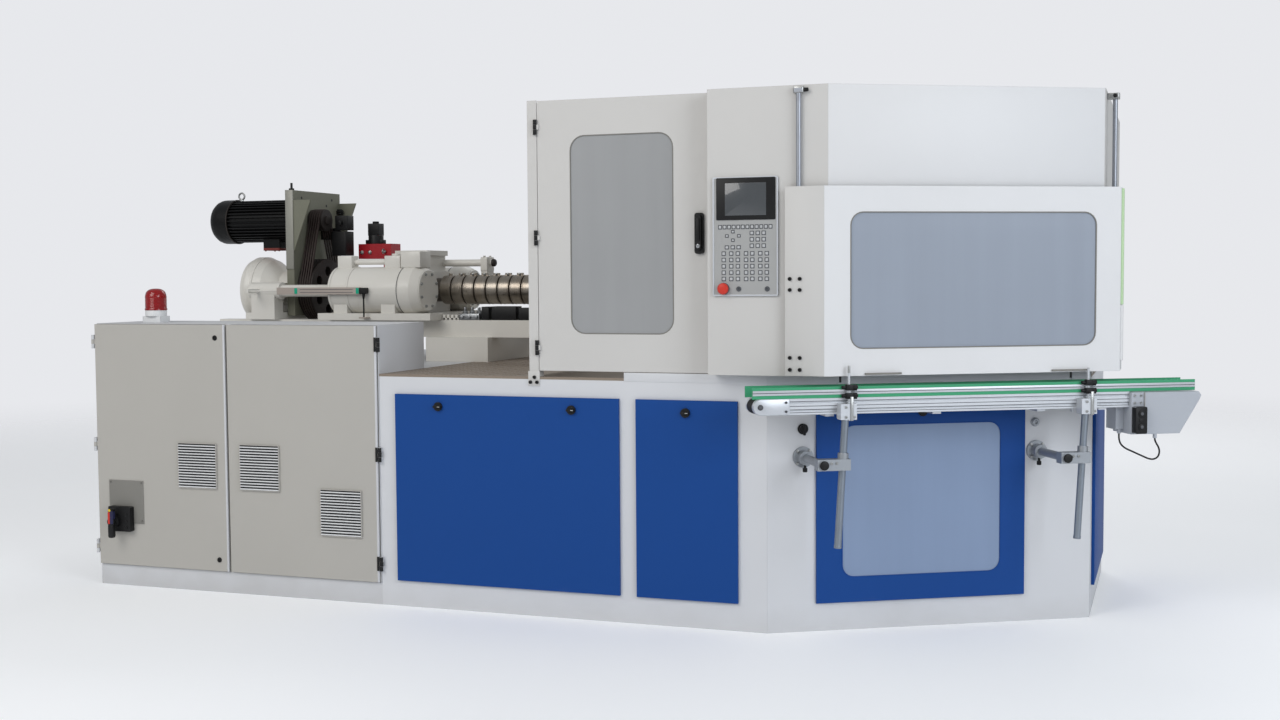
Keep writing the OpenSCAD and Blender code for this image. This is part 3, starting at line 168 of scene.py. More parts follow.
class Graph:
    """A material's node tree, with one method that makes its nodes."""

    def __init__(self, material: bpy.types.Material) -> None:
        """Starts from the material's Principled shader."""
        material.use_nodes = True
        self.tree = material.node_tree
        self.shader = next(n for n in self.tree.nodes if n.type == "BSDF_PRINCIPLED")
        self.place = self.node("ShaderNodeTexCoord", {}, {}, "Object")

    def feed(self, socket: bpy.types.NodeSocket, value: Any) -> None:
        """Links a value to a socket, or sets the socket's own number or colour."""
        if isinstance(value, Value):
            self.tree.links.new(value.socket, socket)
        else:
            socket.default_value = value

    def node(self, kind: str, settings: dict[str, Any], inputs: dict[Any, Any], output: Any = 0) -> Value:
        """Makes one node.

        Args:
            kind: the node's type name.
            settings: its properties, and "stops" for a ramp's (place, grey) pairs.
            inputs: values or links by socket name or index.
            output: the name or index of the socket to return.

        Returns:
            The chosen output, ready for arithmetic.
        """
        made = self.tree.nodes.new(kind)
        for name, setting in settings.items():
            if name == "stops":
                self._stops(made.color_ramp, setting)
            else:
                setattr(made, name, setting)
        for name, value in inputs.items():
            self.feed(made.inputs[name], value)
        return Value(self, made.outputs[output])

    @staticmethod
    def _stops(ramp: bpy.types.ColorRamp, stops: Sequence[Span]) -> None:
        """Sets a grey ramp's stops."""
        while len(ramp.elements) < len(stops):
            ramp.elements.new(1.0)
        for element, (place, grey) in zip(ramp.elements, stops):
            element.position = place
            element.color = (grey, grey, grey, 1)

    def stretched(self, scale: Point, turn: float = 0.0) -> Value:
        """Object coordinates turned about Z and scaled."""
        inputs = {"Vector": self.place, "Scale": scale, "Rotation": (0, 0, turn)}
        return self.node("ShaderNodeMapping", {}, inputs)

    def noise(self, scale: float, detail: float = 3.0, where: Optional[Value] = None) -> Value:
        """A noise value round 0.5."""
        inputs = {"Vector": where or self.place, "Scale": scale, "Detail": detail}
        return self.node("ShaderNodeTexNoise", {}, inputs)

    def ramp(self, value: Value, low: float, high: float) -> Value:
        """A smooth step from 0 at low to 1 at high."""
        return self.node("ShaderNodeValToRGB", {"stops": ((low, 0.0), (high, 1.0))}, {0: value})

    def mix(self, factor: Any, first: Any, second: Any) -> Value:
        """Blends two colours."""
        return self.node("ShaderNodeMix", {"data_type": "RGBA"}, {0: factor, 6: first, 7: second}, 2)

    def height(self) -> Value:
        """Height above the floor."""
        return self.node("ShaderNodeSeparateXYZ", {}, {0: self.place}, 2)

    def rounded(self, radius: float) -> Value:
        """A normal that softens sharp edges."""
        return self.node("ShaderNodeBevel", {"samples": 4}, {"Radius": radius})

    def edge(self, radius: float) -> Value:
        """Nought on flat faces, rising to one on sharp edges."""
        normal = self.node("ShaderNodeNewGeometry", {}, {}, "Normal")
        inputs = {0: self.rounded(radius), 1: normal}
        dot = self.node("ShaderNodeVectorMath", {"operation": "DOT_PRODUCT"}, inputs, 1)
        return self.ramp(1 - dot, 0.02, 0.22)

    def bump(self, height: Value, distance: float, normal: Value) -> Value:
        """A normal bumped to that depth."""
        inputs = {"Height": height, "Distance": distance, "Strength": 1.0, "Normal": normal}
        return self.node("ShaderNodeBump", {}, inputs)


class Surface(Enum):
    """The kinds of surface on the machine."""

    PAINT = "paint"
    BRUSHED = "brushed"
    TURNED = "turned"
    CAST = "cast"
    MOULDED = "moulded"
    FROSTED = "frosted"
    HEATED = "heated"
    DRAWN = "drawn"


@dataclass(frozen=True)
class Finish:
    """One finish: its colour, its gloss and the detail of its surface."""

    name: str
    colour: Colour
    surface: Surface = Surface.PAINT
    roughness: float = 0.42
    metallic: float = 0.0
    coat: float = 0.0
    grime: float = 0.0
    transmission: float = 0.0
    soften: float = 0.002
    specular: float = 0.3

    def material(self) -> bpy.types.Material:
        """Makes the material on first use."""
        if self in MADE:
            return MADE[self]
        made = bpy.data.materials.new(f"{self.name}_finish")
        MADE[self] = made
        graph = Graph(made)
        shader = graph.shader.inputs
        shader["Metallic"].default_value = self.metallic
        shader["Coat Weight"].default_value = self.coat
        shader["Transmission Weight"].default_value = self.transmission
        shader["Specular IOR Level"].default_value = self.specular
        getattr(self, "_" + self.surface.value)(graph)
        return made

    def tone(self, gain: float) -> tuple[float, float, float, float]:
        """The colour, lighter or darker."""
        return (*(min(1.0, c * gain) for c in self.colour), 1.0)

    def _colour(self, graph: Graph, mask: Value, dark: float, light: float) -> Value:
        """Spreads the colour between two tones by a mask."""
        return graph.mix(mask, self.tone(dark), self.tone(light))

    def _lay(self, graph: Graph, colour: Value, gloss: Value, spread: float, relief: Value,
             depth: float) -> None:
        """Feeds the shader with a colour, a gloss that varies, and a bump on softened edges.

        Args:
            graph: the material's nodes.
            colour: the base colour.
            gloss: a mask round 0.5 that the roughness follows.
            spread: how far the roughness varies.
            relief: the bump's height.
            depth: the bump's depth in metres.
        """
        shader = graph.shader.inputs
        graph.feed(shader["Base Color"], colour)
        graph.feed(shader["Roughness"], gloss * spread + (self.roughness - spread / 2))
        graph.feed(shader["Normal"], graph.bump(relief, depth, graph.rounded(self.soften)))

    def _paint(self, graph: Graph) -> None:
        """Sprayed paint: faint clouds, orange peel, dust near the floor and thin wear on edges."""
        clouds = graph.noise(1.7, 4.0)
        speck = graph.noise(95.0, 2.0)
        wear = graph.edge(0.0025) * graph.ramp(graph.noise(14.0, 5.0), 0.42, 0.66) * 0.35
        colour = graph.mix(wear, self._colour(graph, clouds, 0.955, 1.03), self.tone(0.62))
        if self.grime:
            low = graph.ramp(graph.noise(5.0, 5.0) * 0.22 - graph.height(), 0.0, 0.10)
            colour = graph.mix(low * self.grime, colour, DUST)
        self._lay(graph, colour, clouds * 0.6 + speck * 0.4, 0.14, graph.noise(420.0, 2.0), 0.00035)

    def _brushed(self, graph: Graph) -> None:
        """Steel with fine grinding lines along X."""
        lines = graph.noise(6.0, 6.0, graph.stretched((1.5, 90.0, 90.0)))
        stain = graph.ramp(graph.noise(7.0, 4.0), 0.52, 0.75) * 0.35
        colour = graph.mix(stain, self._colour(graph, lines, 0.72, 1.18), self.tone(0.6))
        self._lay(graph, colour, lines, 0.2, lines, 0.0003)

    def _turned(self, graph: Graph) -> None:
        """Turned or ground bars: fine rings and faint smears."""
        rings = graph.noise(60.0, 4.0, graph.stretched((6.0, 1.0, 6.0)))
        smear = graph.noise(16.0, 4.0)
        stain = graph.ramp(smear, 0.5, 0.8) * 0.4
        colour = graph.mix(stain, self._colour(graph, rings, 0.86, 1.1), self.tone(0.66))
        self._lay(graph, colour, smear, 0.18, rings, 0.00015)

    def _cast(self, graph: Graph) -> None:
        """Cast metal under paint: a pebbled skin with rubbed edges."""
        pebble = graph.noise(75.0, 5.0)
        clouds = graph.noise(3.5, 4.0)
        wear = graph.edge(0.003) * graph.ramp(graph.noise(20.0, 5.0), 0.4, 0.62) * 0.5
        colour = self._colour(graph, clouds * 0.6 + pebble * 0.4, 0.86, 1.1)
        self._lay(graph, graph.mix(wear, colour, self.tone(1.5)), pebble, 0.2, pebble, 0.0009)

    def _moulded(self, graph: Graph) -> None:
        """Moulded plastic or rubber with a fine spark-eroded grain."""
        grain = graph.noise(650.0, 2.0)
        clouds = graph.noise(9.0, 3.0)
        colour = self._colour(graph, clouds, 0.9, 1.1)
        self._lay(graph, colour, grain * 0.5 + clouds * 0.5, 0.16, grain, 0.0002)

    def _frosted(self, graph: Graph) -> None:
        """A frosted pane: faint upright streaks, soft clouds and a fine etched skin."""
        streaks = graph.noise(2.4, 4.0, graph.stretched((5.0, 5.0, 0.25)))
        clouds = graph.noise(1.1, 3.0)
        colour = self._colour(graph, streaks * 0.5 + clouds * 0.5, 0.88, 1.12)
        self._lay(graph, colour, clouds, 0.12, graph.noise(900.0, 1.0), 0.0001)

    def _heated(self, graph: Graph) -> None:
        """Rolled steel bands, tinted by heat in patches along the barrel."""
        patch = graph.noise(11.0, 2.0, graph.stretched((1.0, 0.35, 0.35)))
        grain = graph.noise(5.0, 6.0, graph.stretched((70.0, 3.0, 3.0)))
        tint = graph.ramp(patch, 0.46, 0.7) * 0.5
        colour = graph.mix(tint, self._colour(graph, grain, 0.72, 1.2), HEAT_TINT)
        self._lay(graph, colour, grain, 0.18, grain, 0.0003)

    def _drawn(self, graph: Graph) -> None:
        """Extruded profile: long die lines along the chamfer."""
        lines = graph.noise(5.0, 5.0, graph.stretched((0.8, 60.0, 60.0), -CHAMFER.angle))
        smear = graph.noise(8.0, 3.0)
        colour = self._colour(graph, lines, 0.9, 1.08)
        self._lay(graph, colour, lines * 0.6 + smear * 0.4, 0.16, lines, 0.00025)


MADE: dict[Finish, bpy.types.Material] = {}


class Finishes:
    """Every finish on the machine."""

    BASE = Finish("base_paint", linear(209, 210, 213), roughness=0.40, grime=0.11)
    CABINET = Finish("cabinet_paint", linear(178, 175, 169), roughness=0.45, grime=0.12)
    SHELL = Finish("cabinet_shell_paint", linear(203, 204, 207), roughness=0.45, grime=0.2)
    GUARD = Finish("guard_paint", linear(201, 199, 196), roughness=0.42)
    # A lighter copy of the guard paint: painted light on the guard sheet that faces along the chamfer,
    # towards the lamp on the right.
    LIFT = Finish("guard_paint_lit_copy", linear(220, 220, 221), roughness=0.40)
    BLUE = Finish("panel_blue", linear(18, 68, 138), roughness=0.5, grime=0.06, specular=0.18)
    CASTING = Finish("casting_paint", linear(219, 216, 209), roughness=0.33, coat=0.2, soften=0.004)
    DECK = Finish("deck_steel", linear(148, 135, 122), Surface.BRUSHED, 0.5, 0.55)
    PANE = Finish("front_pane", linear(152, 153, 154), Surface.FROSTED, 0.35, coat=0.3)
    LIFT_PANE = Finish("lift_pane", linear(146, 154, 167), Surface.FROSTED, 0.42, coat=0.04)
    BASE_PANE = Finish("base_pane", linear(128, 146, 175), Surface.FROSTED, 0.35, coat=0.3)
    BLACK = Finish("black_plastic", linear(20, 20, 21), Surface.MOULDED, 0.46)
    RUBBER = Finish("black_rubber", linear(34, 33, 33), Surface.MOULDED, 0.7)
    BELT = Finish("drive_belt_rubber", linear(58, 48, 45), Surface.MOULDED, 0.68)
    STEEL = Finish("bright_steel", linear(190, 192, 195), Surface.TURNED, 0.24, 0.95)
    RAIL = Finish("rail_steel", linear(164, 168, 176), Surface.TURNED, 0.42, 0.85)
    GALVANISED = Finish("galvanised_steel", linear(160, 164, 169), Surface.CAST, 0.48, 0.8)
    ZINC = Finish("zinc_fasteners", linear(172, 173, 172), Surface.TURNED, 0.34, 0.9)
    MACHINED = Finish("machined_steel", linear(160, 162, 164), Surface.BRUSHED, 0.34, 0.9)
    BAND = Finish("band_steel", linear(158, 150, 140), Surface.HEATED, 0.30, 0.92)
    BARREL = Finish("barrel_steel", linear(118, 112, 106), Surface.TURNED, 0.4, 0.9)
    ALLOY = Finish("profile_alloy", linear(204, 207, 212), Surface.DRAWN, 0.36, 0.5)
    TUBE = Finish("post_tube", linear(142, 150, 160), Surface.TURNED, 0.36, 0.85)
    GREEN = Finish("rail_green", linear(62, 156, 112), Surface.DRAWN, 0.42)
    DRIVE = Finish("drive_paint", linear(175, 179, 186), roughness=0.4)
    MOTOR = Finish("motor_black", linear(10, 10, 11), Surface.CAST, 0.38, specular=0.22)
    OLIVE = Finish("plate_olive", linear(118, 118, 104), Surface.CAST, 0.5, soften=0.003)
    GAUGE = Finish("gauge_alloy", linear(186, 175, 166), Surface.DRAWN, 0.34, 0.5)
    LID = Finish("lid_brown", linear(122, 50, 44), Surface.CAST, 0.5)
    ACRYLIC = Finish("side_acrylic", linear(186, 214, 172), Surface.FROSTED, 0.3, coat=0.2)
    EDGE = Finish("plate_edge_steel", linear(150, 149, 141), Surface.CAST, 0.5, 0.35, soften=0.003)
    IRON = Finish("pulley_iron", linear(52, 47, 45), Surface.CAST, 0.5, 0.4)
    RED = Finish("valve_red", linear(172, 26, 38), Surface.CAST, 0.36, coat=0.3)
    LENS = Finish("lens_red", linear(156, 8, 14), Surface.MOULDED, 0.14, coat=0.4, transmission=0.25)
    STOP = Finish("stop_red", linear(200, 56, 43), Surface.MOULDED, 0.38)
    PANEL = Finish("operator_plate", linear(164, 164, 163), roughness=0.42)
    KEY = Finish("key_grey", linear(184, 185, 186), Surface.MOULDED, 0.5)
    KEY_RIM = Finish("key_rim", linear(84, 86, 90), Surface.MOULDED, 0.5)
    SCREEN = Finish("screen_glass", linear(70, 73, 76), Surface.FROSTED, 0.2, coat=0.9)
    PLATE = Finish("isolator_plate", linear(128, 126, 121), roughness=0.5)
    VENT = Finish("vent_white", linear(222, 223, 224), Surface.MOULDED, 0.42)
    PACK = Finish("pack_paint", linear(104, 114, 124), roughness=0.45)
    GEAR = Finish("switchgear_grey", linear(150, 152, 154), Surface.MOULDED, 0.5)
    TAG = Finish("tag_green", linear(20, 166, 132), Surface.MOULDED, 0.4)
    NAVY = Finish("lever_navy", linear(38, 40, 72), Surface.MOULDED, 0.42)
    YELLOW = Finish("mark_yellow", linear(226, 190, 40), Surface.MOULDED, 0.42)


FINISHED_NODES: dict[Finish, str] = {
    Finishes.BASE: "floor_plate front_frame chamfer_frame base_back_walls injection_bed",
    Finishes.DECK: "base_deck",
    Finishes.SHELL: "cabinet_shell",
    Finishes.CABINET: "cabinet_left_door cabinet_right_door",
    Finishes.BLACK: "isolator_handle latch_left latch_right latch_small latch_chamfer guard_handle",
    Finishes.GEAR: "switchgear",
    Finishes.LENS: "beacon_lens",
    Finishes.PACK: "power_pack",
    Finishes.BLUE: "large_panel small_panel chamfer_panel",
    Finishes.BASE_PANE: "chamfer_window",
    Finishes.GUARD: "guard_left_wall guard_column guard_back_walls guard_door",
    # The panels facing the chamfer take the guard paint's lighter copy, painted light.
    Finishes.LIFT: "guard_upper_panel lift_guard",
    Finishes.RAIL: "guard_rails",
    Finishes.PANEL: "control_panel",
    Finishes.STOP: "emergency_stop",
    Finishes.PANE: "guard_window",
    Finishes.LIFT_PANE: "lift_window",
    Finishes.MACHINED: "lower_platen injection_platen blow_platen index_table stripper",
    Finishes.CASTING: "press_crowns slide_bed carriage injection_cylinders crosshead",
    Finishes.STEEL: "lift_spindle idler_roller",
    Finishes.BARREL: "barrel",
    Finishes.BAND: "heater_bands",
    Finishes.GAUGE: "transducer",
    Finishes.RED: "valve_block",
    Finishes.OLIVE: "motor_plate",
    Finishes.MOTOR: "drive_motor",
    Finishes.IRON: "motor_pulley screw",
    Finishes.BELT: "drive_belts",
    Finishes.GALVANISED: "support_arms",
    Finishes.ALLOY: "conveyor_frame",
    Finishes.RUBBER: "conveyor_belt drive_cord",
    Finishes.GREEN: "guide_rails",
    Finishes.DRIVE: "conveyor_drive",
}


class Shape:
    """A mesh in the making, put together with bmesh operators."""

    def __init__(self) -> None:
        """Starts empty."""
        self.mesh = bmesh.new()

    def _soften(self, edges: Iterable[bmesh.types.BMEdge], width: float, steps: int = 2) -> None:
        """Rounds edges."""
        bmesh.ops.bevel(self.mesh, geom=list(edges), offset=width, offset_type="OFFSET", segments=steps,
                        profile=0.5, affect="EDGES", material=-1, clamp_overlap=True)

    def block(self, low: Point, high: Point, soften: float = 0.0) -> "Shape":
        """Adds a block between two corners, its edges rounded by soften."""
        low, high = Vector(low), Vector(high)
        place = Matrix.Translation((low + high) / 2) @ Matrix.Diagonal((*(high - low), 1))
        made = bmesh.ops.create_cube(self.mesh, size=1.0, matrix=place)
        if soften:
            self._soften({e for v in made["verts"] for e in v.link_edges}, soften)
        return self

    def slab(self, low: Point, high: Point, axis: Point, radius: float, soften: float = 0.0) -> "Shape":
        """Adds a block whose four edges along an axis have a large radius.

        Args:
            low: its lowest corner.
            high: its highest corner.
            axis: the direction of the rounded edges.
            radius: their radius.
            soften: the rounding of the rims round both ends.

        Returns:
            This shape.
        """
        axis = Vector(axis)
        part = Shape().block(low, high)
        along = [e for e in part.mesh.edges
                 if (e.verts[1].co - e.verts[0].co).cross(axis).length < SAME]
        part._soften(along, radius, 6)
        if soften:
            rims = [e for e in part.mesh.edges if e.calc_face_angle(0) > 1.0
                    and abs((e.verts[1].co - e.verts[0].co).dot(axis)) < SQUARE]
            part._soften(rims, soften)
        return self.add(part)

    def rod(self, start: Point, end: Point, radius: float, tip: Optional[float] = None, sides: int = 28,
            soften: float = 0.0) -> "Shape":
        """Adds a round bar.

        Args:
            start: the middle of its first end.
            end: the middle of its far end.
            radius: its radius.
            tip: the far end's radius, where it is a cone.
            sides: how many faces go round it.
            soften: the rounding of its rims.

        Returns:
            This shape.
        """
        start, end = Vector(start), Vector(end)
        way = end - start
        place = Matrix.Translation((start + end) / 2) @ way.to_track_quat("Z", "Y").to_matrix().to_4x4()
        made = bmesh.ops.create_cone(self.mesh, cap_ends=True, cap_tris=False, segments=sides, radius1=radius,
                                     radius2=radius if tip is None else tip, depth=way.length, matrix=place)
        if soften:
            rims = {e for v in made["verts"] for e in v.link_edges
                    if abs((e.verts[1].co - e.verts[0].co).dot(way)) < SQUARE}
            self._soften(rims, soften)
        return self

    def turned(self, profile: Sequence[Span], base: Point, axis: Point, steps: int = 48) -> "Shape":
        """Spins an outline of (radius, height) points about an axis through base.

        Args:
            profile: the outline.
            base: where its height is nought.
            axis: the direction of its height.
            steps: how many faces go round it.

        Returns:
            This shape.
        """
        base, axis = Vector(base), Vector(axis).normalized()
        side = axis.orthogonal().normalized()
        part = Shape()
        verts = [part.mesh.verts.new(base + axis * height + side * radius) for radius, height in profile]
        edges = [part.mesh.edges.new(pair) for pair in zip(verts, verts[1:])]
        bmesh.ops.spin(part.mesh, geom=verts + edges, cent=base, axis=axis, angle=math.tau, steps=steps,
                       use_merge=True)
        bmesh.ops.remove_doubles(part.mesh, verts=part.mesh.verts[:], dist=SAME)
        bmesh.ops.recalc_face_normals(part.mesh, faces=part.mesh.faces[:])
        return self.add(part)

    def ring(self, centre: Point, axis: Point, radius: float, wire: float, steps: int) -> "Shape":
        """Adds a ring of round wire about an axis."""
        points = [(radius + wire * math.cos(a), wire * math.sin(a))
                  for a in (math.tau * i / 10 for i in range(11))]
        return self.turned(points, centre, axis, steps)

    def plate(self, outline: Sequence[Point], thick: Point, soften: float = 0.0) -> "Shape":
        """Adds a flat outline made thick along a vector."""
        part = Shape()
        face = part.mesh.faces.new([part.mesh.verts.new(p) for p in outline])
        made = bmesh.ops.extrude_face_region(part.mesh, geom=[face])
        moved = [v for v in made["geom"] if isinstance(v, bmesh.types.BMVert)]
        bmesh.ops.translate(part.mesh, verts=moved, vec=Vector(thick))
        bmesh.ops.recalc_face_normals(part.mesh, faces=part.mesh.faces[:])
        if soften:
            part._soften(part.mesh.edges[:], soften)
        return self.add(part)

    def hexagon(self, centre: Point, axis: Point, across: float, height: float) -> "Shape":
        """Adds a bolt head on its washer, standing on centre along an axis."""
        centre, axis = Vector(centre), Vector(axis).normalized()
        washer = centre + axis * height * 0.18
        self.rod(centre, washer, across * 0.66, sides=24)
        return self.rod(washer, centre + axis * height, across * 0.577, sides=6, soften=height * 0.08)

    def socket_screw(self, centre: Point, axis: Point, radius: float) -> "Shape":
        """Adds a cap screw with a sunk hexagon, standing on centre along an axis."""
        profile = [(r * radius, h * radius) for r, h in SCREW_HEAD]
        return self.turned(profile, centre, axis, 18)

    def star_knob(self, centre: Point, axis: Point, radius: float, height: float, lobes: int = 6) -> "Shape":
        """Adds a lobed grip standing on centre along an axis."""
        centre, axis = Vector(centre), Vector(axis).normalized()
        side = axis.orthogonal().normalized()
        across = axis.cross(side)
        steps = lobes * 6
        outline = []
        for i in range(steps):
            turn = math.tau * i / steps
            reach = radius * (0.86 + 0.14 * math.cos(lobes * turn))
            outline.append(centre + side * reach * math.cos(turn) + across * reach * math.sin(turn))
        self.plate(outline, axis * height, height * 0.16)
        top = centre + axis * height * 1.2
        return self.rod(centre + axis * height * 0.9, top, radius * 0.4, soften=0.001)

    def frame(self, low: Point, high: Point, axis: Point, radius: float, width: float) -> "Shape":
        """Adds a rounded frame of that width, standing inside a slab of the same corners."""
        axis = Vector(axis)
        part = Shape().slab(low, high, axis, radius)
        caps = [f for f in part.mesh.faces if abs(f.normal.dot(axis)) > 0.99]
        bmesh.ops.inset_individual(part.mesh, faces=caps, thickness=width, depth=0.0)
        edges = {e for f in caps for e in f.edges}
        bmesh.ops.delete(part.mesh, geom=caps, context="FACES_ONLY")
        bmesh.ops.bridge_loops(part.mesh, edges=list(edges))
        bmesh.ops.recalc_face_normals(part.mesh, faces=part.mesh.faces[:])
        return self.add(part)

    def add(self, other: "Shape") -> "Shape":
        """Takes over another shape's geometry."""
        carried = bpy.data.meshes.new("carried")
        other.mesh.to_mesh(carried)
        other.mesh.free()
        self.mesh.from_mesh(carried)
        bpy.data.meshes.remove(carried)
        return self

    def on_chamfer(self) -> "Shape":
        """Turns what is modelled with x = s and y = -d onto the chamfered wall."""
        bmesh.ops.transform(self.mesh, matrix=CHAMFER.matrix(), verts=self.mesh.verts[:])
        return self

    def piece(self, name: str, finish: Finish, body: str, slot: str, *replaced: str) -> None:
        """Makes the finished object, riding on its body.

        Args:
            name: the piece's name.
            finish: its finish.
            body: the body that it rides on.
            slot: the record's material slot; not used.
            *replaced: nodes that it stands for.
        """
        mesh = bpy.data.meshes.new(name)
        self.mesh.to_mesh(mesh)
        self.mesh.free()
        mesh.shade_smooth()
        mesh.set_sharp_from_angle(angle=CREASE)
        made = bpy.data.objects.new(name, mesh)
        bpy.context.scene.collection.objects.link(made)
        mesh.materials.append(finish.material())
        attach(made, body)
        if replaced:
            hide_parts(*replaced)
        LOG.info("%s rides on %s, %d faces", name, body, len(mesh.polygons))


def circle(centre: Point, axis: Point, radius: float, count: int, phase: float = 0.0) -> list[Vector]:
    """Spreads points evenly on a circle.

    Args:
        centre: the circle's middle.
        axis: the frame's direction that it stands square to.
        radius: its radius.
        count: how many points.
        phase: where the first point is, in steps.

    Returns:
        The points in order.
    """
    first, second = (Vector(way) for way in (ALONG, BACK, UP) if not Vector(way).dot(Vector(axis)))
    turns = [math.tau * (i + phase) / count for i in range(count)]
    return [Vector(centre) + first * (radius * math.cos(t)) + second * (radius * math.sin(t)) for t in turns]


def knuckles(at: Span, middles: Sequence[float], length: float, radius: float) -> tuple[Shape, Shape]:
    """Rounds the three sleeves of each hinge on one upright pin line.

    Args:
        at: x and y of the pins.
        middles: the height of each hinge's middle.
        length: a hinge's length.
        radius: the sleeves' radius.

    Returns:
        The outer sleeves, which stay, and the middle ones, which swing.
    """
    fixed, moving = Shape(), Shape()
    third = length / 3
    for middle in middles:
        low = middle - length / 2
        for owner, bottom in ((fixed, low), (moving, low + third), (fixed, low + 2 * third)):
            owner.rod((*at, bottom), (*at, bottom + third - 0.0006), radius, soften=0.001)
    return fixed, moving


@dataclass
class Studio:
    """Pale floor, soft light and the camera of the photograph."""

    lens: float = 42.47
    camera_at: tuple[float, float, float] = (1.652, -8.054, 1.654)
    yaw: float = math.radians(-19.65)
    pitch: float = math.radians(-3.25)
    roll: float = math.radians(-0.38)
    aim: tuple[float, float, float] = (-1.0, -0.4, 1.1)
    floor_half: float = 60.0
    fade: Span = (4.5, 15.0)
    floor_lift: float = 0.11
    sky: tuple[float, float, float, float] = (0.80, 0.81, 0.84, 1)
    fill: tuple[float, float, float, float] = (0.93, 0.965, 1.0, 1)
    fill_strength: float = 0.42

    def camera(self) -> None:
        """Sets the camera at the photograph's viewing angle."""
        data = bpy.data.cameras.new("camera")
        data.lens = self.lens
        data.sensor_width = 36.0
        data.clip_end = 300.0
        forward = Vector((math.sin(self.yaw) * math.cos(self.pitch),
                          math.cos(self.yaw) * math.cos(self.pitch), math.sin(self.pitch)))
        level = forward.cross(Vector(UP)).normalized()
        upright = level.cross(forward)
        right = level * math.cos(self.roll) + upright * math.sin(self.roll)
        turn = Matrix((right, right.cross(forward), -forward)).transposed().to_4x4()
        made = bpy.data.objects.new("camera", data)
        made.matrix_world = Matrix.Translation(self.camera_at) @ turn
        bpy.context.scene.collection.objects.link(made)
        bpy.context.scene.camera = made

    def lamp(self, name: str, place: Point, size: float, power: float, colour: Colour) -> None:
        """Adds one soft square lamp aimed at the machine."""
        data = bpy.data.lights.new(name, "AREA")
        data.size = size
        data.energy = power
        data.color = colour
        made = bpy.data.objects.new(name, data)
        way = Vector(self.aim) - Vector(place)
        made.matrix_world = Matrix.Translation(place) @ way.to_track_quat("-Z", "Y").to_matrix().to_4x4()
        bpy.context.scene.collection.objects.link(made)

    def world(self) -> None:
        """An even pale surround, shown a little lighter to the camera and through glass."""
        world = bpy.data.worlds.new("surround")
        bpy.context.scene.world = world
        world.use_nodes = True
        tree = world.node_tree
        shown = tree.nodes["Background"]
        shown.inputs["Color"].default_value = self.sky
        shown.inputs["Strength"].default_value = 1.0
        fill = tree.nodes.new("ShaderNodeBackground")
        fill.inputs["Color"].default_value = self.fill
        fill.inputs["Strength"].default_value = self.fill_strength
        path = tree.nodes.new("ShaderNodeLightPath")
        seen = tree.nodes.new("ShaderNodeMath")
        seen.operation = "MAXIMUM"
        mix = tree.nodes.new("ShaderNodeMixShader")
        for source, target in ((path.outputs["Is Camera Ray"], seen.inputs[0]),
                               (path.outputs["Is Transmission Ray"], seen.inputs[1]),
                               (seen.outputs[0], mix.inputs[0]), (fill.outputs[0], mix.inputs[1]),
                               (shown.outputs[0], mix.inputs[2]),
                               (mix.outputs[0], tree.nodes["World Output"].inputs[0])):
            tree.links.new(source, target)

    def floor(self) -> None:
        """Lays the pale floor, which fades out far from the machine."""
        mesh = bmesh.new()
        bmesh.ops.create_grid(mesh, x_segments=1, y_segments=1, size=self.floor_half)
        data = bpy.data.meshes.new("floor")
        mesh.to_mesh(data)
        mesh.free()
        made = bpy.data.objects.new("floor", data)
        bpy.context.scene.collection.objects.link(made)
        material = bpy.data.materials.new("floor_pale")
        graph = Graph(material)
        shader = graph.shader.inputs
        colour = graph.mix(graph.noise(0.6, 2.0), (0.93, 0.94, 0.96, 1), (0.96, 0.97, 0.99, 1))
        graph.feed(shader["Base Color"], colour)
        shader["Roughness"].default_value = 0.7
        graph.feed(shader["Emission Color"], graph.node("ShaderNodeLightPath", {}, {}, "Is Camera Ray"))
        shader["Emission Strength"].default_value = self.floor_lift
        away = graph.node("ShaderNodeVectorMath", {"operation": "DISTANCE"}, {0: graph.place, 1: self.aim}, 1)
        fade = graph.node("ShaderNodeMapRange", {"interpolation_type": "SMOOTHSTEP"},
                          {0: away, 1: self.fade[0], 2: self.fade[1], 3: 1.0, 4: 0.0})
        graph.feed(shader["Alpha"], fade)
        data.materials.append(material)

    def build(self) -> None:
        """Sets the whole stage."""
        bpy.context.scene.view_settings.view_transform = "Standard"
        self.camera()
        self.world()
        self.floor()
        self.lamp("key", (-5.0, -9.5, 7.0), 6.0, 455.0, (1.0, 0.98, 0.95))
        self.lamp("fill", (8.0, -6.5, 4.5), 5.0, 395.0, (0.89, 0.94, 1.0))
        self.lamp("back", (-1.0, 9.0, 7.5), 6.0, 320.0, (1.0, 1.0, 1.0))


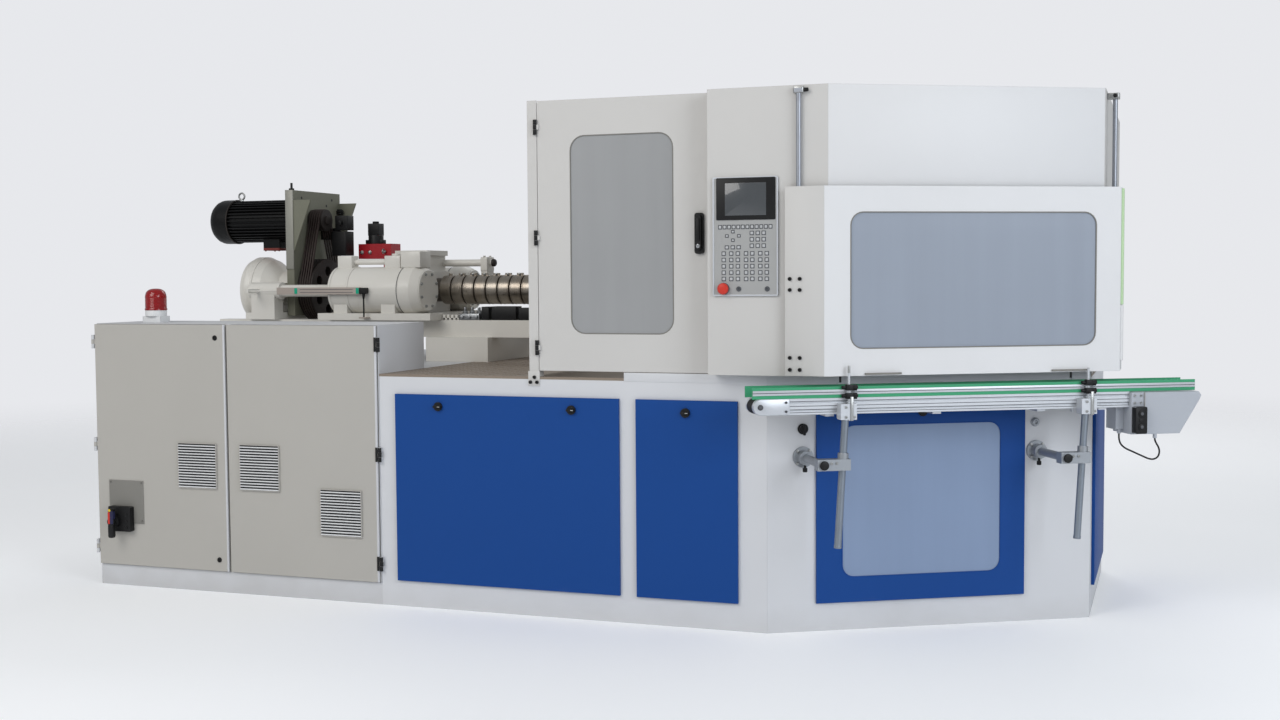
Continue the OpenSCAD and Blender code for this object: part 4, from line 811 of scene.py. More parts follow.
@dataclass
class DriveCord:
    """The short black lead that loops from the switch box back into the conveyor's drive housing."""

    diameter: float = 0.008
    route: tuple[tuple[int, int, int], ...] = (
        (-15, 205, -199), (-15, 205, -216), (-13, 206, -232), (-8, 209, -247), (2, 214, -260),
        (17, 221, -271), (35, 229, -280), (53, 237, -289), (71, 245, -298), (89, 254, -307),
        (106, 262, -314), (123, 270, -315), (137, 277, -307), (144, 281, -292), (144, 284, -274),
        (138, 285, -257), (129, 285, -242), (122, 285, -228), (120, 285, -216))

    def points(self) -> list[Vector]:
        """The route, given in millimetres from the drive box, in the machine's frame."""
        return [CHAMFER.at(DRIVE_S + s / 1000, d / 1000, BELT_TOP + z / 1000) for s, d, z in self.route]

    @staticmethod
    def length(spline: bpy.types.Spline) -> float:
        """Measures a Bezier spline."""
        total = 0.0
        knots = spline.bezier_points
        for a, b in zip(knots, knots[1:]):
            run = interpolate_bezier(a.co, a.handle_right, b.handle_left, b.co, 13)
            total += sum((q - p).length for p, q in zip(run, run[1:]))
        return total

    def build(self) -> None:
        """Lays the cord along its route."""
        points = self.points()
        curve = bpy.data.curves.new("drive_lead", "CURVE")
        curve.dimensions = "3D"
        curve.bevel_depth = self.diameter / 2
        curve.bevel_resolution = 4
        curve.use_fill_caps = True
        spline = curve.splines.new("BEZIER")
        spline.bezier_points.add(len(points) - 1)
        spline.resolution_u = 6
        for knot, point in zip(spline.bezier_points, points):
            knot.co = point
            knot.handle_left_type = knot.handle_right_type = "AUTO"
        made = bpy.data.objects.new("drive_lead", curve)
        bpy.context.scene.collection.objects.link(made)
        bpy.context.view_layer.update()
        curve.materials.append(Finishes.BLACK.material())
        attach(made, "conveyor")
        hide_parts("drive_cord")
        round(self.length(spline), 4)
        LOG.info("drive_lead is %.3f m long", self.length(spline))


@dataclass
class Cabinet:
    """Vents, locks, hinges, isolator and beacon of the switch cabinet."""

    vents: tuple[tuple[str, float, float], ...] = (
        ("cabinet_left_door", -3.188, 0.550), ("cabinet_right_door", -2.808, 0.552),
        ("cabinet_right_door", -2.331, 0.339))
    vent_width: float = 0.230
    vent_depth: float = 0.0088
    vent_rim: float = 0.004
    louvres: int = 16
    pitch: float = 0.0145
    blade: Outline = ((0.0003, 0.0078), (-0.0036, 0.0046), (-0.0036, 0.0016), (0.0003, 0.0016))
    lock_x: float = -3.067
    lock_heights: Span = (1.338, 0.174)
    lock: Outline = ((0, 0), (0.0135, 0), (0.0135, 0.003), (0.0115, 0.0045), (0.0075, 0.0045),
                     (0.0068, 0.002), (0, 0.002))
    hinge_at: Span = (-2.107, -1.411)
    hinge_heights: tuple[float, ...] = (0.208, 0.760, 1.312)
    hinge_length: float = 0.072
    leaf_x: Span = (-2.131, -2.1195)
    isolator: Span = (-3.692, 0.356)
    isolator_plate: Span = (-1.4145, -1.4128)
    isolator_face: float = -1.447
    lever_reach: float = 0.042
    beacon: Span = (-3.592, -1.195)
    ribs: int = 15
    rib_pitch: float = 0.0042
    dome: Outline = ((0.0562, 0.142), (0.0540, 0.154), (0.0505, 0.163), (0.0450, 0.1705), (0.0375, 0.1765),
                     (0.0280, 0.1808), (0.0160, 0.1833), (0, 0.184))
    collar: Outline = ((0, 0.0345), (0.0568, 0.0345), (0.0568, 0.0655), (0.0560, 0.0670), (0, 0.0670))
    door_z: Span = (0.114, 1.406)
    # Where the bright strip lies on each door, x from and to: painted highlights on the closing edges.
    edges: tuple[tuple[str, Span], ...] = (
        ("cabinet_left_door", (-3.0205, -3.0098)), ("cabinet_right_door", (-2.1305, -2.1198)))

    def vent(self, index: int, body: str, x: float, z: float) -> None:
        """A white louvred grille over the slots in a door, with a black plate behind its blades as painted
        shade in the slots.

        Args:
            index: the vent's number.
            body: the door that carries it.
            x: the place of its middle.
            z: the height of its lower edge.
        """
        left, right = x - self.vent_width / 2, x + self.vent_width / 2
        back = DOOR_FACE_Y - self.vent_depth
        top = z + self.louvres * self.pitch
        rim = self.vent_rim
        border = Shape().frame((left - rim, back - 0.0012, z - rim), (right + rim, DOOR_FACE_Y, top + rim),
                               BACK, rim, rim)
        border.piece(f"vent_rim_{index}", Finishes.CABINET, body, "cabinet_grey")
        blades = Shape()
        for i in range(self.louvres):
            outline = [(left, back + y, z + i * self.pitch + rise) for y, rise in self.blade]
            blades.plate(outline, (self.vent_width, 0, 0))
        blades.piece(f"vent_{index}", Finishes.VENT, body, "cabinet_grey")
        # Black plate behind the blades: painted shade where the open slots fall dark.
        slot_shade = Shape().block((left, back, z), (right, DOOR_FACE_Y + 0.0004, top))
        slot_shade.piece(f"vent_slot_shade_{index}", Finishes.BLACK, body, "black_plastic")

    def locks(self) -> None:
        """Two black quarter-turn lock inserts."""
        shape = Shape()
        x, face = self.lock_x, DOOR_FACE_Y
        for z in self.lock_heights:
            shape.turned(self.lock, (x, face, z), OUT, 28)
            shape.block((x - 0.0012, face - 0.0042, z - 0.0065), (x + 0.0012, face - 0.001, z + 0.0065))
        shape.piece("door_locks", Finishes.BLACK, "cabinet_left_door", "black_plastic")

    def hinges(self) -> None:
        """Black covers over the right door's hinges."""
        fixed, moving = knuckles(self.hinge_at, self.hinge_heights, self.hinge_length, 0.0092)
        for middle in self.hinge_heights:
            low = middle - self.hinge_length / 2
            moving.block((self.leaf_x[0], DOOR_FACE_Y - 0.004, low),
                         (self.leaf_x[1], DOOR_FACE_Y, low + self.hinge_length), 0.0012)
        fixed.piece("hinge_covers", Finishes.BLACK, "base", "black_plastic")
        moving.piece("hinge_leaves", Finishes.BLACK, "cabinet_right_door", "black_plastic")

    def switch_box(self) -> None:
        """The main isolator's plate and box."""
        x, z = self.isolator
        (front, rear), face = self.isolator_plate, self.isolator_face
        plate = Shape().block((x - 0.0622, front, z - 0.016), (x + 0.1572, rear, z + 0.2152), 0.0006)
        for u, v in ((-0.052, 0.205), (0.147, 0.205), (0.147, 0.0)):
            plate.socket_screw((x + u, front + 0.0001, z + v), OUT, 0.0045)
        plate.piece("isolator_plate", Finishes.PLATE, "cabinet_left_door", "cabinet_grey")
        box = Shape().slab((x - 0.0465, face - 0.00018, z - 0.0565),
                           (x + 0.0935, front + 0.0003, z + 0.0765), BACK, 0.006)
        for v in (-0.035, 0.0, 0.035):
            box.rod((x + 0.066, face - 0.004, z + v), (x + 0.066, face, z + v), 0.009, soften=0.001)
        box.piece("isolator_box", Finishes.BLACK, "cabinet_left_door", "black_plastic")

    def switch_lever(self) -> None:
        """The isolator's black grip, navy and red flanks, and yellow mark."""
        x, z = self.isolator
        at = Vector((x, self.isolator_face - self.lever_reach, z))
        grip = Shape().slab(at + Vector((-0.0165, -0.002, -0.0865)), at + Vector((0.0165, 0.0185, -0.012)),
                            BACK, 0.010, 0.002)
        grip.piece("isolator_grip", Finishes.BLACK, "isolator", "black_plastic")
        side = Shape().slab(at + Vector((-0.004, -0.0012, -0.012)), at + Vector((0.0162, 0.0185, 0.058)),
                            BACK, 0.006, 0.001)
        side.piece("isolator_side", Finishes.NAVY, "isolator", "switch_red")
        flank = Shape().slab(at + Vector((-0.0165, -0.0016, -0.012)), at + Vector((-0.004, 0.0188, 0.052)),
                             BACK, 0.004, 0.001)
        flank.piece("isolator_flank", Finishes.STOP, "isolator", "switch_red")
        mark = Shape().rod(at + Vector((-0.006, -0.0012, 0.061)), at + Vector((-0.006, 0.001, 0.061)), 0.0075)
        mark.piece("isolator_mark", Finishes.YELLOW, "isolator", "switch_red")

    def door_highlights(self) -> None:
        """Bright strips on the closing sides of both doors: painted highlights where light catches the doors'
        edges.
        """
        low, high = self.door_z
        for body, (x0, x1) in self.edges:
            strip = Shape().block((x0, DOOR_FACE_Y - 0.0012, low), (x1, DOOR_FACE_Y + 0.010, high), 0.0012)
            strip.piece(f"{body}_edge", Finishes.SHELL, body, "cabinet_grey")

    def lamp(self) -> None:
        """The beacon's ribbed red lens and its white foot."""
        x, y = self.beacon
        at = (x, y, CABINET_TOP)
        ribs = [(0.0572 - 0.0014 * (i % 2), 0.077 + self.rib_pitch * i) for i in range(self.ribs)]
        profile = [(0, 0.067), (0.0590, 0.067), (0.0590, 0.074), *ribs, *self.dome]
        lens = Shape().turned(profile, at, UP, 64)
        lens.piece("beacon_dome", Finishes.LENS, "base", "beacon_red", "beacon_lens")
        foot = Shape().turned(self.collar, at, UP, 56)
        foot.slab((x - 0.0585, y - 0.0405, CABINET_TOP + 0.0002),
                  (x + 0.0585, y + 0.0405, CABINET_TOP + 0.0345), UP, 0.008, 0.002)
        foot.piece("beacon_foot", Finishes.VENT, "base", "cabinet_grey")

    def build(self) -> None:
        """Makes all of the cabinet's fittings."""
        for index, (body, x, z) in enumerate(self.vents, 1):
            self.vent(index, body, x, z)
        self.locks()
        self.hinges()
        self.switch_box()
        self.switch_lever()
        self.door_highlights()
        self.lamp()


@dataclass
class OperatorPanel:
    """Screen, keys and frame of the control panel."""

    face: float = COLUMN_Y - 0.008
    plate_x: Span = (-0.335, -0.031)
    plate_z: Span = (1.553, 2.087)
    bezel: Window = (-0.317, -0.043, 1.894, 2.083)
    screen: Window = (-0.276, -0.085, 1.914, 2.059)
    key_rim: float = 0.0075
    row_pitch: float = 0.0285
    column_pitch: float = 0.0275
    columns: tuple[float, ...] = (-0.283, -0.248, -0.217, -0.179, -0.150, -0.113, -0.083)
    stop_at: Span = (-0.283, 1.586)
    sockets: Span = (-0.213, -0.081)
    socket: Outline = ((0, 0), (0.0115, 0), (0.0115, 0.003), (0.0095, 0.0045), (0.006, 0.0045),
                       (0.005, 0.001), (0, 0.001))
    stop_collar: Outline = ((0.0112, 0.0), (0.0268, 0.0), (0.0268, 0.0014), (0.025, 0.0024), (0.0112, 0.0024),
                            (0.0112, 0.0))
    stop_head: Outline = ((0, 0.010), (0.017, 0.010), (0.0238, 0.0125), (0.0262, 0.0165), (0.0255, 0.0205),
                          (0.0215, 0.0252), (0.012, 0.0278), (0, 0.0284))

    def keys(self) -> None:
        """All key groups in the photograph's layout, each key a dark rim with a raised light cap."""
        square = (0.020, 0.020)
        arrow = (0.017, 0.015)
        groups = (([-0.300 + i * 0.0213 for i in range(12)], [1.863], (0.018, 0.020)),
                  ([-0.240], [1.842, 1.804], arrow), ([-0.268, -0.212], [1.823], arrow),
                  ([-0.268 + i * self.column_pitch for i in range(3)], [1.772], (0.020, 0.018)),
                  ([-0.152 + i * self.column_pitch for i in range(3)],
                   [1.835 - j * self.row_pitch for j in range(3)], square),
                  (self.columns, [1.744 - j * self.row_pitch for j in range(5)], square))
        rims, caps = Shape(), Shape()
        y = self.face
        for across, heights, (wide, high) in groups:
            for x, z in product(across, heights):
                u, v = wide / 2, high / 2
                rims.slab((x - u, y - 0.0008, z - v), (x + u, y + 0.0004, z + v), BACK, 0.002)
                u, v = (wide - self.key_rim) / 2, (high - self.key_rim) / 2
                caps.slab((x - u, y - 0.0022, z - v), (x + u, y, z + v), BACK, 0.002, 0.0006)
        rims.piece("key_rims", Finishes.KEY_RIM, "base", "panel_grey")
        caps.piece("key_caps", Finishes.KEY, "base", "panel_grey")

    def display(self) -> None:
        """Black bezel and screen."""
        x0, x1, z0, z1 = self.bezel
        bezel = Shape().slab((x0, self.face - 0.004, z0), (x1, self.face + 0.001, z1), BACK, 0.005, 0.0015)
        bezel.piece("screen_bezel", Finishes.BLACK, "base", "black_plastic")
        x0, x1, z0, z1 = self.screen
        glass = Shape().slab((x0, self.face - 0.0046, z0), (x1, self.face - 0.002, z1), BACK, 0.002, 0.0004)
        glass.piece("screen", Finishes.SCREEN, "base", "pane")

    def stop_row(self) -> None:
        """The stop button and the two small round sockets beside it."""
        x, z = self.stop_at
        sockets = Shape()
        for u in self.sockets:
            sockets.turned(self.socket, (u, self.face, z - 0.001), OUT, 28)
        sockets.piece("panel_sockets", Finishes.KEY_RIM, "base", "black_plastic")
        collar = Shape().turned(self.stop_collar, (x, self.face, z), OUT, 36)
        collar.piece("stop_collar", Finishes.KEY_RIM, "base", "panel_grey")
        head = Shape().turned(self.stop_head, (x, self.face, z), OUT, 44)
        head.piece("stop_head", Finishes.STOP, "emergency_stop", "switch_red")

    def surround(self) -> None:
        """A bright frame round the plate."""
        low = (self.plate_x[0], self.face - 0.002, self.plate_z[0])
        high = (self.plate_x[1], self.face + 0.0005, self.plate_z[1])
        frame = Shape().frame(low, high, BACK, 0.008, 0.007)
        frame.piece("panel_surround", Finishes.ALLOY, "base", "panel_grey")

    def build(self) -> None:
        """Makes the whole panel."""
        self.surround()
        self.display()
        self.stop_row()
        self.keys()


@dataclass
class GuardFittings:
    """Screws, clamps, gaskets, skins, hinges and handle details of the guard."""

    wing_screws: Span = (0.028, 0.073)
    wing_heights: tuple[float, ...] = (1.629, 1.580, 1.279, 1.226)
    post_screws: tuple[Span, ...] = ((-1.284, 1.139), (-1.250, 1.139), (-1.263, 1.163))
    screw_radius: float = 0.0085
    left_rail: Span = (0.064, -1.5095)
    right_rail: Span = (1.364, -0.705)
    clamp_z: Span = (2.445, 2.473)
    lever_z: float = 2.459
    door_window: Window = (-1.071, -0.558, 1.374, 2.309)
    lift_window: Window = (0.3113, 1.4748, 1.319, 1.922)
    base_window: Window = (0.3525, 1.1285, 0.248, 0.955)
    handle_x: float = -0.429
    handle_y: float = FRONT_Y - 0.0303
    handle_lock: Outline = ((0, 0), (0.0095, 0), (0.0095, 0.002), (0.0075, 0.0035), (0, 0.0035))
    fold_s: Span = (0.2142, 0.2741)
    upper_y: Span = (-0.2398, -0.2384)
    upper_low: float = 1.9975
    upper_end: float = 1.5213
    wing_width: float = 0.1776
    lift_end: Span = (1.5958, 0.260)
    side_pane_z: Span = (1.502, 2.030)
    side_strip_z: Span = (1.245, 1.500)
    sill_x: Span = (-0.807, -0.112)
    sill_s: Span = (0.0, 1.588)
    sill_z: Span = (1.149, 1.192)
    pulls: Span = (0.3773, 1.2628)
    pull_width: float = 0.166
    stay_s: Span = (0.266, 1.360)
    stay_y: float = -0.2525
    hinge_at: Span = (-1.247, -1.404)
    hinge_heights: tuple[float, ...] = (1.306, 1.831, 2.356)
    hinge_length: float = 0.072

    def screws(self) -> None:
        """Black screws on the lifting guard's wing and on the strap under the post."""
        wing, bolts = Shape(), Shape()
        for x, z in product(self.wing_screws, self.wing_heights):
            wing.socket_screw((x, LIFT_Y, z), OUT, self.screw_radius)
        wing.piece("wing_screws", Finishes.BLACK, "lift_guard", "black_plastic")
        strap = Shape().block((-1.297, FRONT_Y - 0.004, 1.120), (-1.237, FRONT_Y, 1.193), 0.001)
        strap.piece("post_strap", Finishes.GUARD, "base", "guard_white")
        for x, z in self.post_screws:
            bolts.socket_screw((x, FRONT_Y - 0.004, z), OUT, self.screw_radius)
        bolts.piece("post_screws", Finishes.BLACK, "base", "black_plastic")

    def rail_clamps(self) -> None:
        """Split clamps at the top of the guide rods, each with a black clamp lever."""
        clamps, levers = Shape(), Shape()
        low, high = self.clamp_z
        z = self.lever_z
        x, y = self.left_rail
        clamps.slab((x - 0.024, y - 0.0115, low), (x + 0.024, y + 0.0142, high), UP, 0.008, 0.002)
        levers.rod((x + 0.022, y, z), (x + 0.044, y, z), 0.009, soften=0.002)
        x, y = self.right_rail
        clamps.slab((x - 0.0355, y - 0.022, low), (x + 0.020, y + 0.022, high), UP, 0.008, 0.002)
        levers.rod((x, y - 0.042, z), (x, y - 0.020, z), 0.009, soften=0.002)
        clamps.piece("rail_clamps", Finishes.ZINC, "base", "rail_steel")
        levers.piece("rail_levers", Finishes.BLACK, "base", "black_plastic")

    @staticmethod
    def bead(window: Window, depth: Span, radius: float) -> Shape:
        """A thin rubber frame that laps a pane's edge."""
        x0, x1, z0, z1 = window
        lap, width = 0.002, 0.005
        low, high = (x0 - lap, depth[0], z0 - lap), (x1 + lap, depth[1], z1 + lap)
        return Shape().frame(low, high, BACK, radius, width)

    def gaskets(self) -> None:
        """Rubber beads round the panes."""
        door = self.bead(self.door_window, (FRONT_Y - 0.00022, FRONT_Y + 0.003), 0.072)
        door.piece("door_gasket", Finishes.PLATE, "guard_door", "guard_white")
        lift = self.bead(self.lift_window, (-0.2612, -0.257), 0.060).on_chamfer()
        lift.piece("lift_gasket", Finishes.PLATE, "lift_guard", "guard_white")
        base = self.bead(self.base_window, (-0.0162, -0.012), 0.060).on_chamfer()
        base.piece("base_gasket", Finishes.BLUE, "chamfer_panel", "panel_blue")

    def handle(self) -> None:
        """The lever handle's bright lock and finger rib."""
        x, y = self.handle_x, self.handle_y
        lock = Shape().turned(self.handle_lock, (x, y, 1.782), OUT, 28)
        lock.block((x - 0.0008, y - 0.0042, 1.777), (x + 0.0008, y - 0.003, 1.787))
        lock.piece("handle_lock", Finishes.STEEL, "guard_handle", "rail_steel")
        rib = Shape().slab((x - 0.008, y - 0.006, 1.806), (x + 0.008, y + 0.001, 1.908), BACK, 0.006, 0.002)
        rib.piece("handle_rib", Finishes.BLACK, "guard_handle", "black_plastic")

    def stays(self) -> None:
        """Short black rods on the lifting guard's inner face that reach down to the belt's edge."""
        rods = Shape()
        y = self.stay_y
        for s in self.stay_s:
            rods.rod((s, y, 1.170), (s, y, GUARD_LOW + 0.050), 0.005, sides=16, soften=0.001)
        rods.on_chamfer().piece("guard_stays", Finishes.BLACK, "lift_guard", "black_plastic")

    def lit_and_shaded_skins(self) -> None:
        """The upper panel's skin, carried round to the column's fold, in the guard paint's lighter copy as
        painted light, and the lifting guard's wing skin in the plain guard paint as painted shade on its
        front-facing wing.
        """
        out, back = self.upper_y
        left, fold = self.fold_s
        # Lighter copy of the guard paint on the faces towards the chamfer: painted light.
        skin = Shape().block((left, out, self.upper_low), (self.upper_end, back, GUARD_HIGH - 0.0005), 0.0004)
        skin.block((left, out, GUARD_LOW + 0.004), (fold, back, self.upper_low), 0.0004)
        skin.on_chamfer().piece("fold_lit_skin", Finishes.LIFT, "base", "guard_white")
        low, high = (Vector(corner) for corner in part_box("lift_guard"))
        # Plain guard paint over the front-facing wing: painted shade against the lighter lifting guard.
        wing = Shape().block((low.x + 0.0004, LIFT_Y - 0.0008, low.z + 0.0004),
                             (low.x + self.wing_width, LIFT_Y + 0.0005, high.z - 0.0004), 0.0004)
        wing.piece("wing_shaded_skin", Finishes.GUARD, "lift_guard", "guard_white")

    def side_strips(self) -> None:
        """The green acrylic strip and the white strip below it on the lifting guard's right end."""
        right = CHAMFER.at(*self.lift_end, 0.0)
        # The white strip takes the guard paint's lighter copy: painted light.
        for name, finish, slot, (low, high) in (
                ("side_pane", Finishes.ACRYLIC, "pane", self.side_pane_z),
                ("side_strip", Finishes.LIFT, "guard_white", self.side_strip_z)):
            strip = Shape().slab((right.x - 0.0008, right.y + 0.004, low),
                                 (right.x + 0.012, right.y + 0.050, high), ALONG, 0.004, 0.001)
            strip.piece(name, finish, "lift_guard", slot)

    def sill(self) -> None:
        """A pale angle on the deck's edge below the column and the lifting guard."""
        (x0, x1), (s0, s1), (low, high) = self.sill_x, self.sill_s, self.sill_z
        side = Shape().block((s0, -0.0012, low), (s1, 0.006, high), 0.0006)
        front = Shape().block((x0, FRONT_Y - 0.0012, low), (x1, FRONT_Y + 0.006, high), 0.0006)
        front.add(side.on_chamfer()).piece("deck_sill", Finishes.BASE, "base", "base_white")

    def grips(self) -> None:
        """Grey covers on the two pull plates at the lifting guard's lower edge."""
        covers = Shape()
        for s in self.pulls:
            covers.block((s - 0.001, -0.2752, 1.2034), (s + self.pull_width + 0.001, -0.2604, 1.2106), 0.0008)
        covers.on_chamfer().piece("pull_covers", Finishes.PLATE, "lift_guard", "rail_steel")

    def hinges(self) -> None:
        """Dark sleeves on the guard door's hinges."""
        fixed, moving = knuckles(self.hinge_at, self.hinge_heights, self.hinge_length, 0.0090)
        fixed.piece("guard_hinge_sleeves", Finishes.BLACK, "base", "black_plastic")
        moving.piece("guard_hinge_knuckles", Finishes.BLACK, "guard_door", "black_plastic")

    def build(self) -> None:
        """Makes all of the guard's fittings."""
        self.screws()
        self.rail_clamps()
        self.gaskets()
        self.handle()
        self.stays()
        self.lit_and_shaded_skins()
        self.side_strips()
        self.sill()
        self.grips()
        self.hinges()


@dataclass
class BaseFittings:
    """Latch marks, wall caps, the end panel's skin and the deck's raised tread."""

    latches: tuple[tuple[str, float], ...] = (
        ("latch_left", -1.776), ("latch_right", -1.069), ("latch_small", -0.498))
    latch_z: float = 1.010
    latch_s: float = 0.7405
    mark_y: Span = (-0.0401, -0.0383)
    socket_at: tuple[float, float, float] = (0.169, 0, 0.941)
    socket: Outline = ((0, 0), (0.025, 0), (0.025, 0.005), (0.019, 0.008), (0.019, 0.020), (0.016, 0.024),
                       (0, 0.024))
    plug_at: tuple[float, float, float] = (1.305, 0, 0.946)
    plug: Outline = ((0, 0), (0.021, 0), (0.021, 0.005), (0.016, 0.008), (0.016, 0.014), (0.009, 0.014),
                     (0.008, 0.007), (0, 0.007))
    tread_x: Span = (-2.09, -1.31)
    tread_y: Span = (-1.37, 1.37)
    tread_pitch: float = 0.046
    lozenge: tuple[float, float, float] = (0.030, 0.008, 0.0016)
    end_panel_x: Span = (1.2655, 1.2808)
    end_panel_half: float = 0.4705
    end_panel_z: Span = (0.131, 1.068)

    def mark(self, x: float, y: float) -> Shape:
        """A pale pointer on a latch wing, right of the latch's middle."""
        (front, rear), z = self.mark_y, self.latch_z
        return Shape().block((x + 0.004, y + front, z - 0.0015), (x + 0.017, y + rear, z + 0.0015))

    def latch_marks(self) -> None:
        """The pointers on all four latches."""
        for body, x in self.latches:
            self.mark(x, FRONT_Y).piece(f"{body}_mark", Finishes.KEY, body, "panel_grey")
        mark = self.mark(self.latch_s, 0.0).on_chamfer()
        mark.piece("latch_chamfer_mark", Finishes.KEY, "latch_chamfer", "panel_grey")

    def caps(self) -> None:
        """A black socket with its turn wing and a grey plug on the chamfered wall."""
        socket = Shape().turned(self.socket, self.socket_at, OUT, 40)
        socket.block((0.163, -0.034, 0.914), (0.175, -0.022, 0.966), 0.003)
        socket.on_chamfer().piece("wall_socket", Finishes.BLACK, "base", "black_plastic")
        plug = Shape().turned(self.plug, self.plug_at, OUT, 40)
        plug.on_chamfer().piece("wall_plug", Finishes.GALVANISED, "base", "rail_steel")

    def end_panel(self) -> None:
        """The blue skin of the fixed panel on the take-off end."""
        (x0, x1), half, (low, high) = self.end_panel_x, self.end_panel_half, self.end_panel_z
        skin = Shape().block((x0, -half, low), (x1, half, high), 0.0007)
        skin.piece("end_panel_skin", Finishes.BLUE, "base", "panel_blue")

    def tread(self) -> None:
        """Raised lozenges on the open deck, turned this way and that."""
        part = Shape()
        columns, rows = (int((high - low) / self.tread_pitch) for low, high in (self.tread_x, self.tread_y))
        length, width, rise = self.lozenge
        for i, j in product(range(columns), range(rows)):
            turn = math.radians(45 if (i + j) % 2 else -45)
            centre = (self.tread_x[0] + i * self.tread_pitch, self.tread_y[0] + j * self.tread_pitch,
                      DECK_TOP + rise / 2)
            place = (Matrix.Translation(centre) @ Matrix.Rotation(turn, 4, "Z")
                     @ Matrix.Diagonal((length / 2, width / 2, 1, 1)))
            bmesh.ops.create_cone(part.mesh, cap_ends=True, segments=6, radius1=1.0, radius2=0.62, depth=rise,
                                  matrix=place)
        part.piece("deck_tread", Finishes.DECK, "base", "deck_brown")

    def build(self) -> None:
        """Makes the base's fittings."""
        self.latch_marks()
        self.caps()
        self.end_panel()
        self.tread()


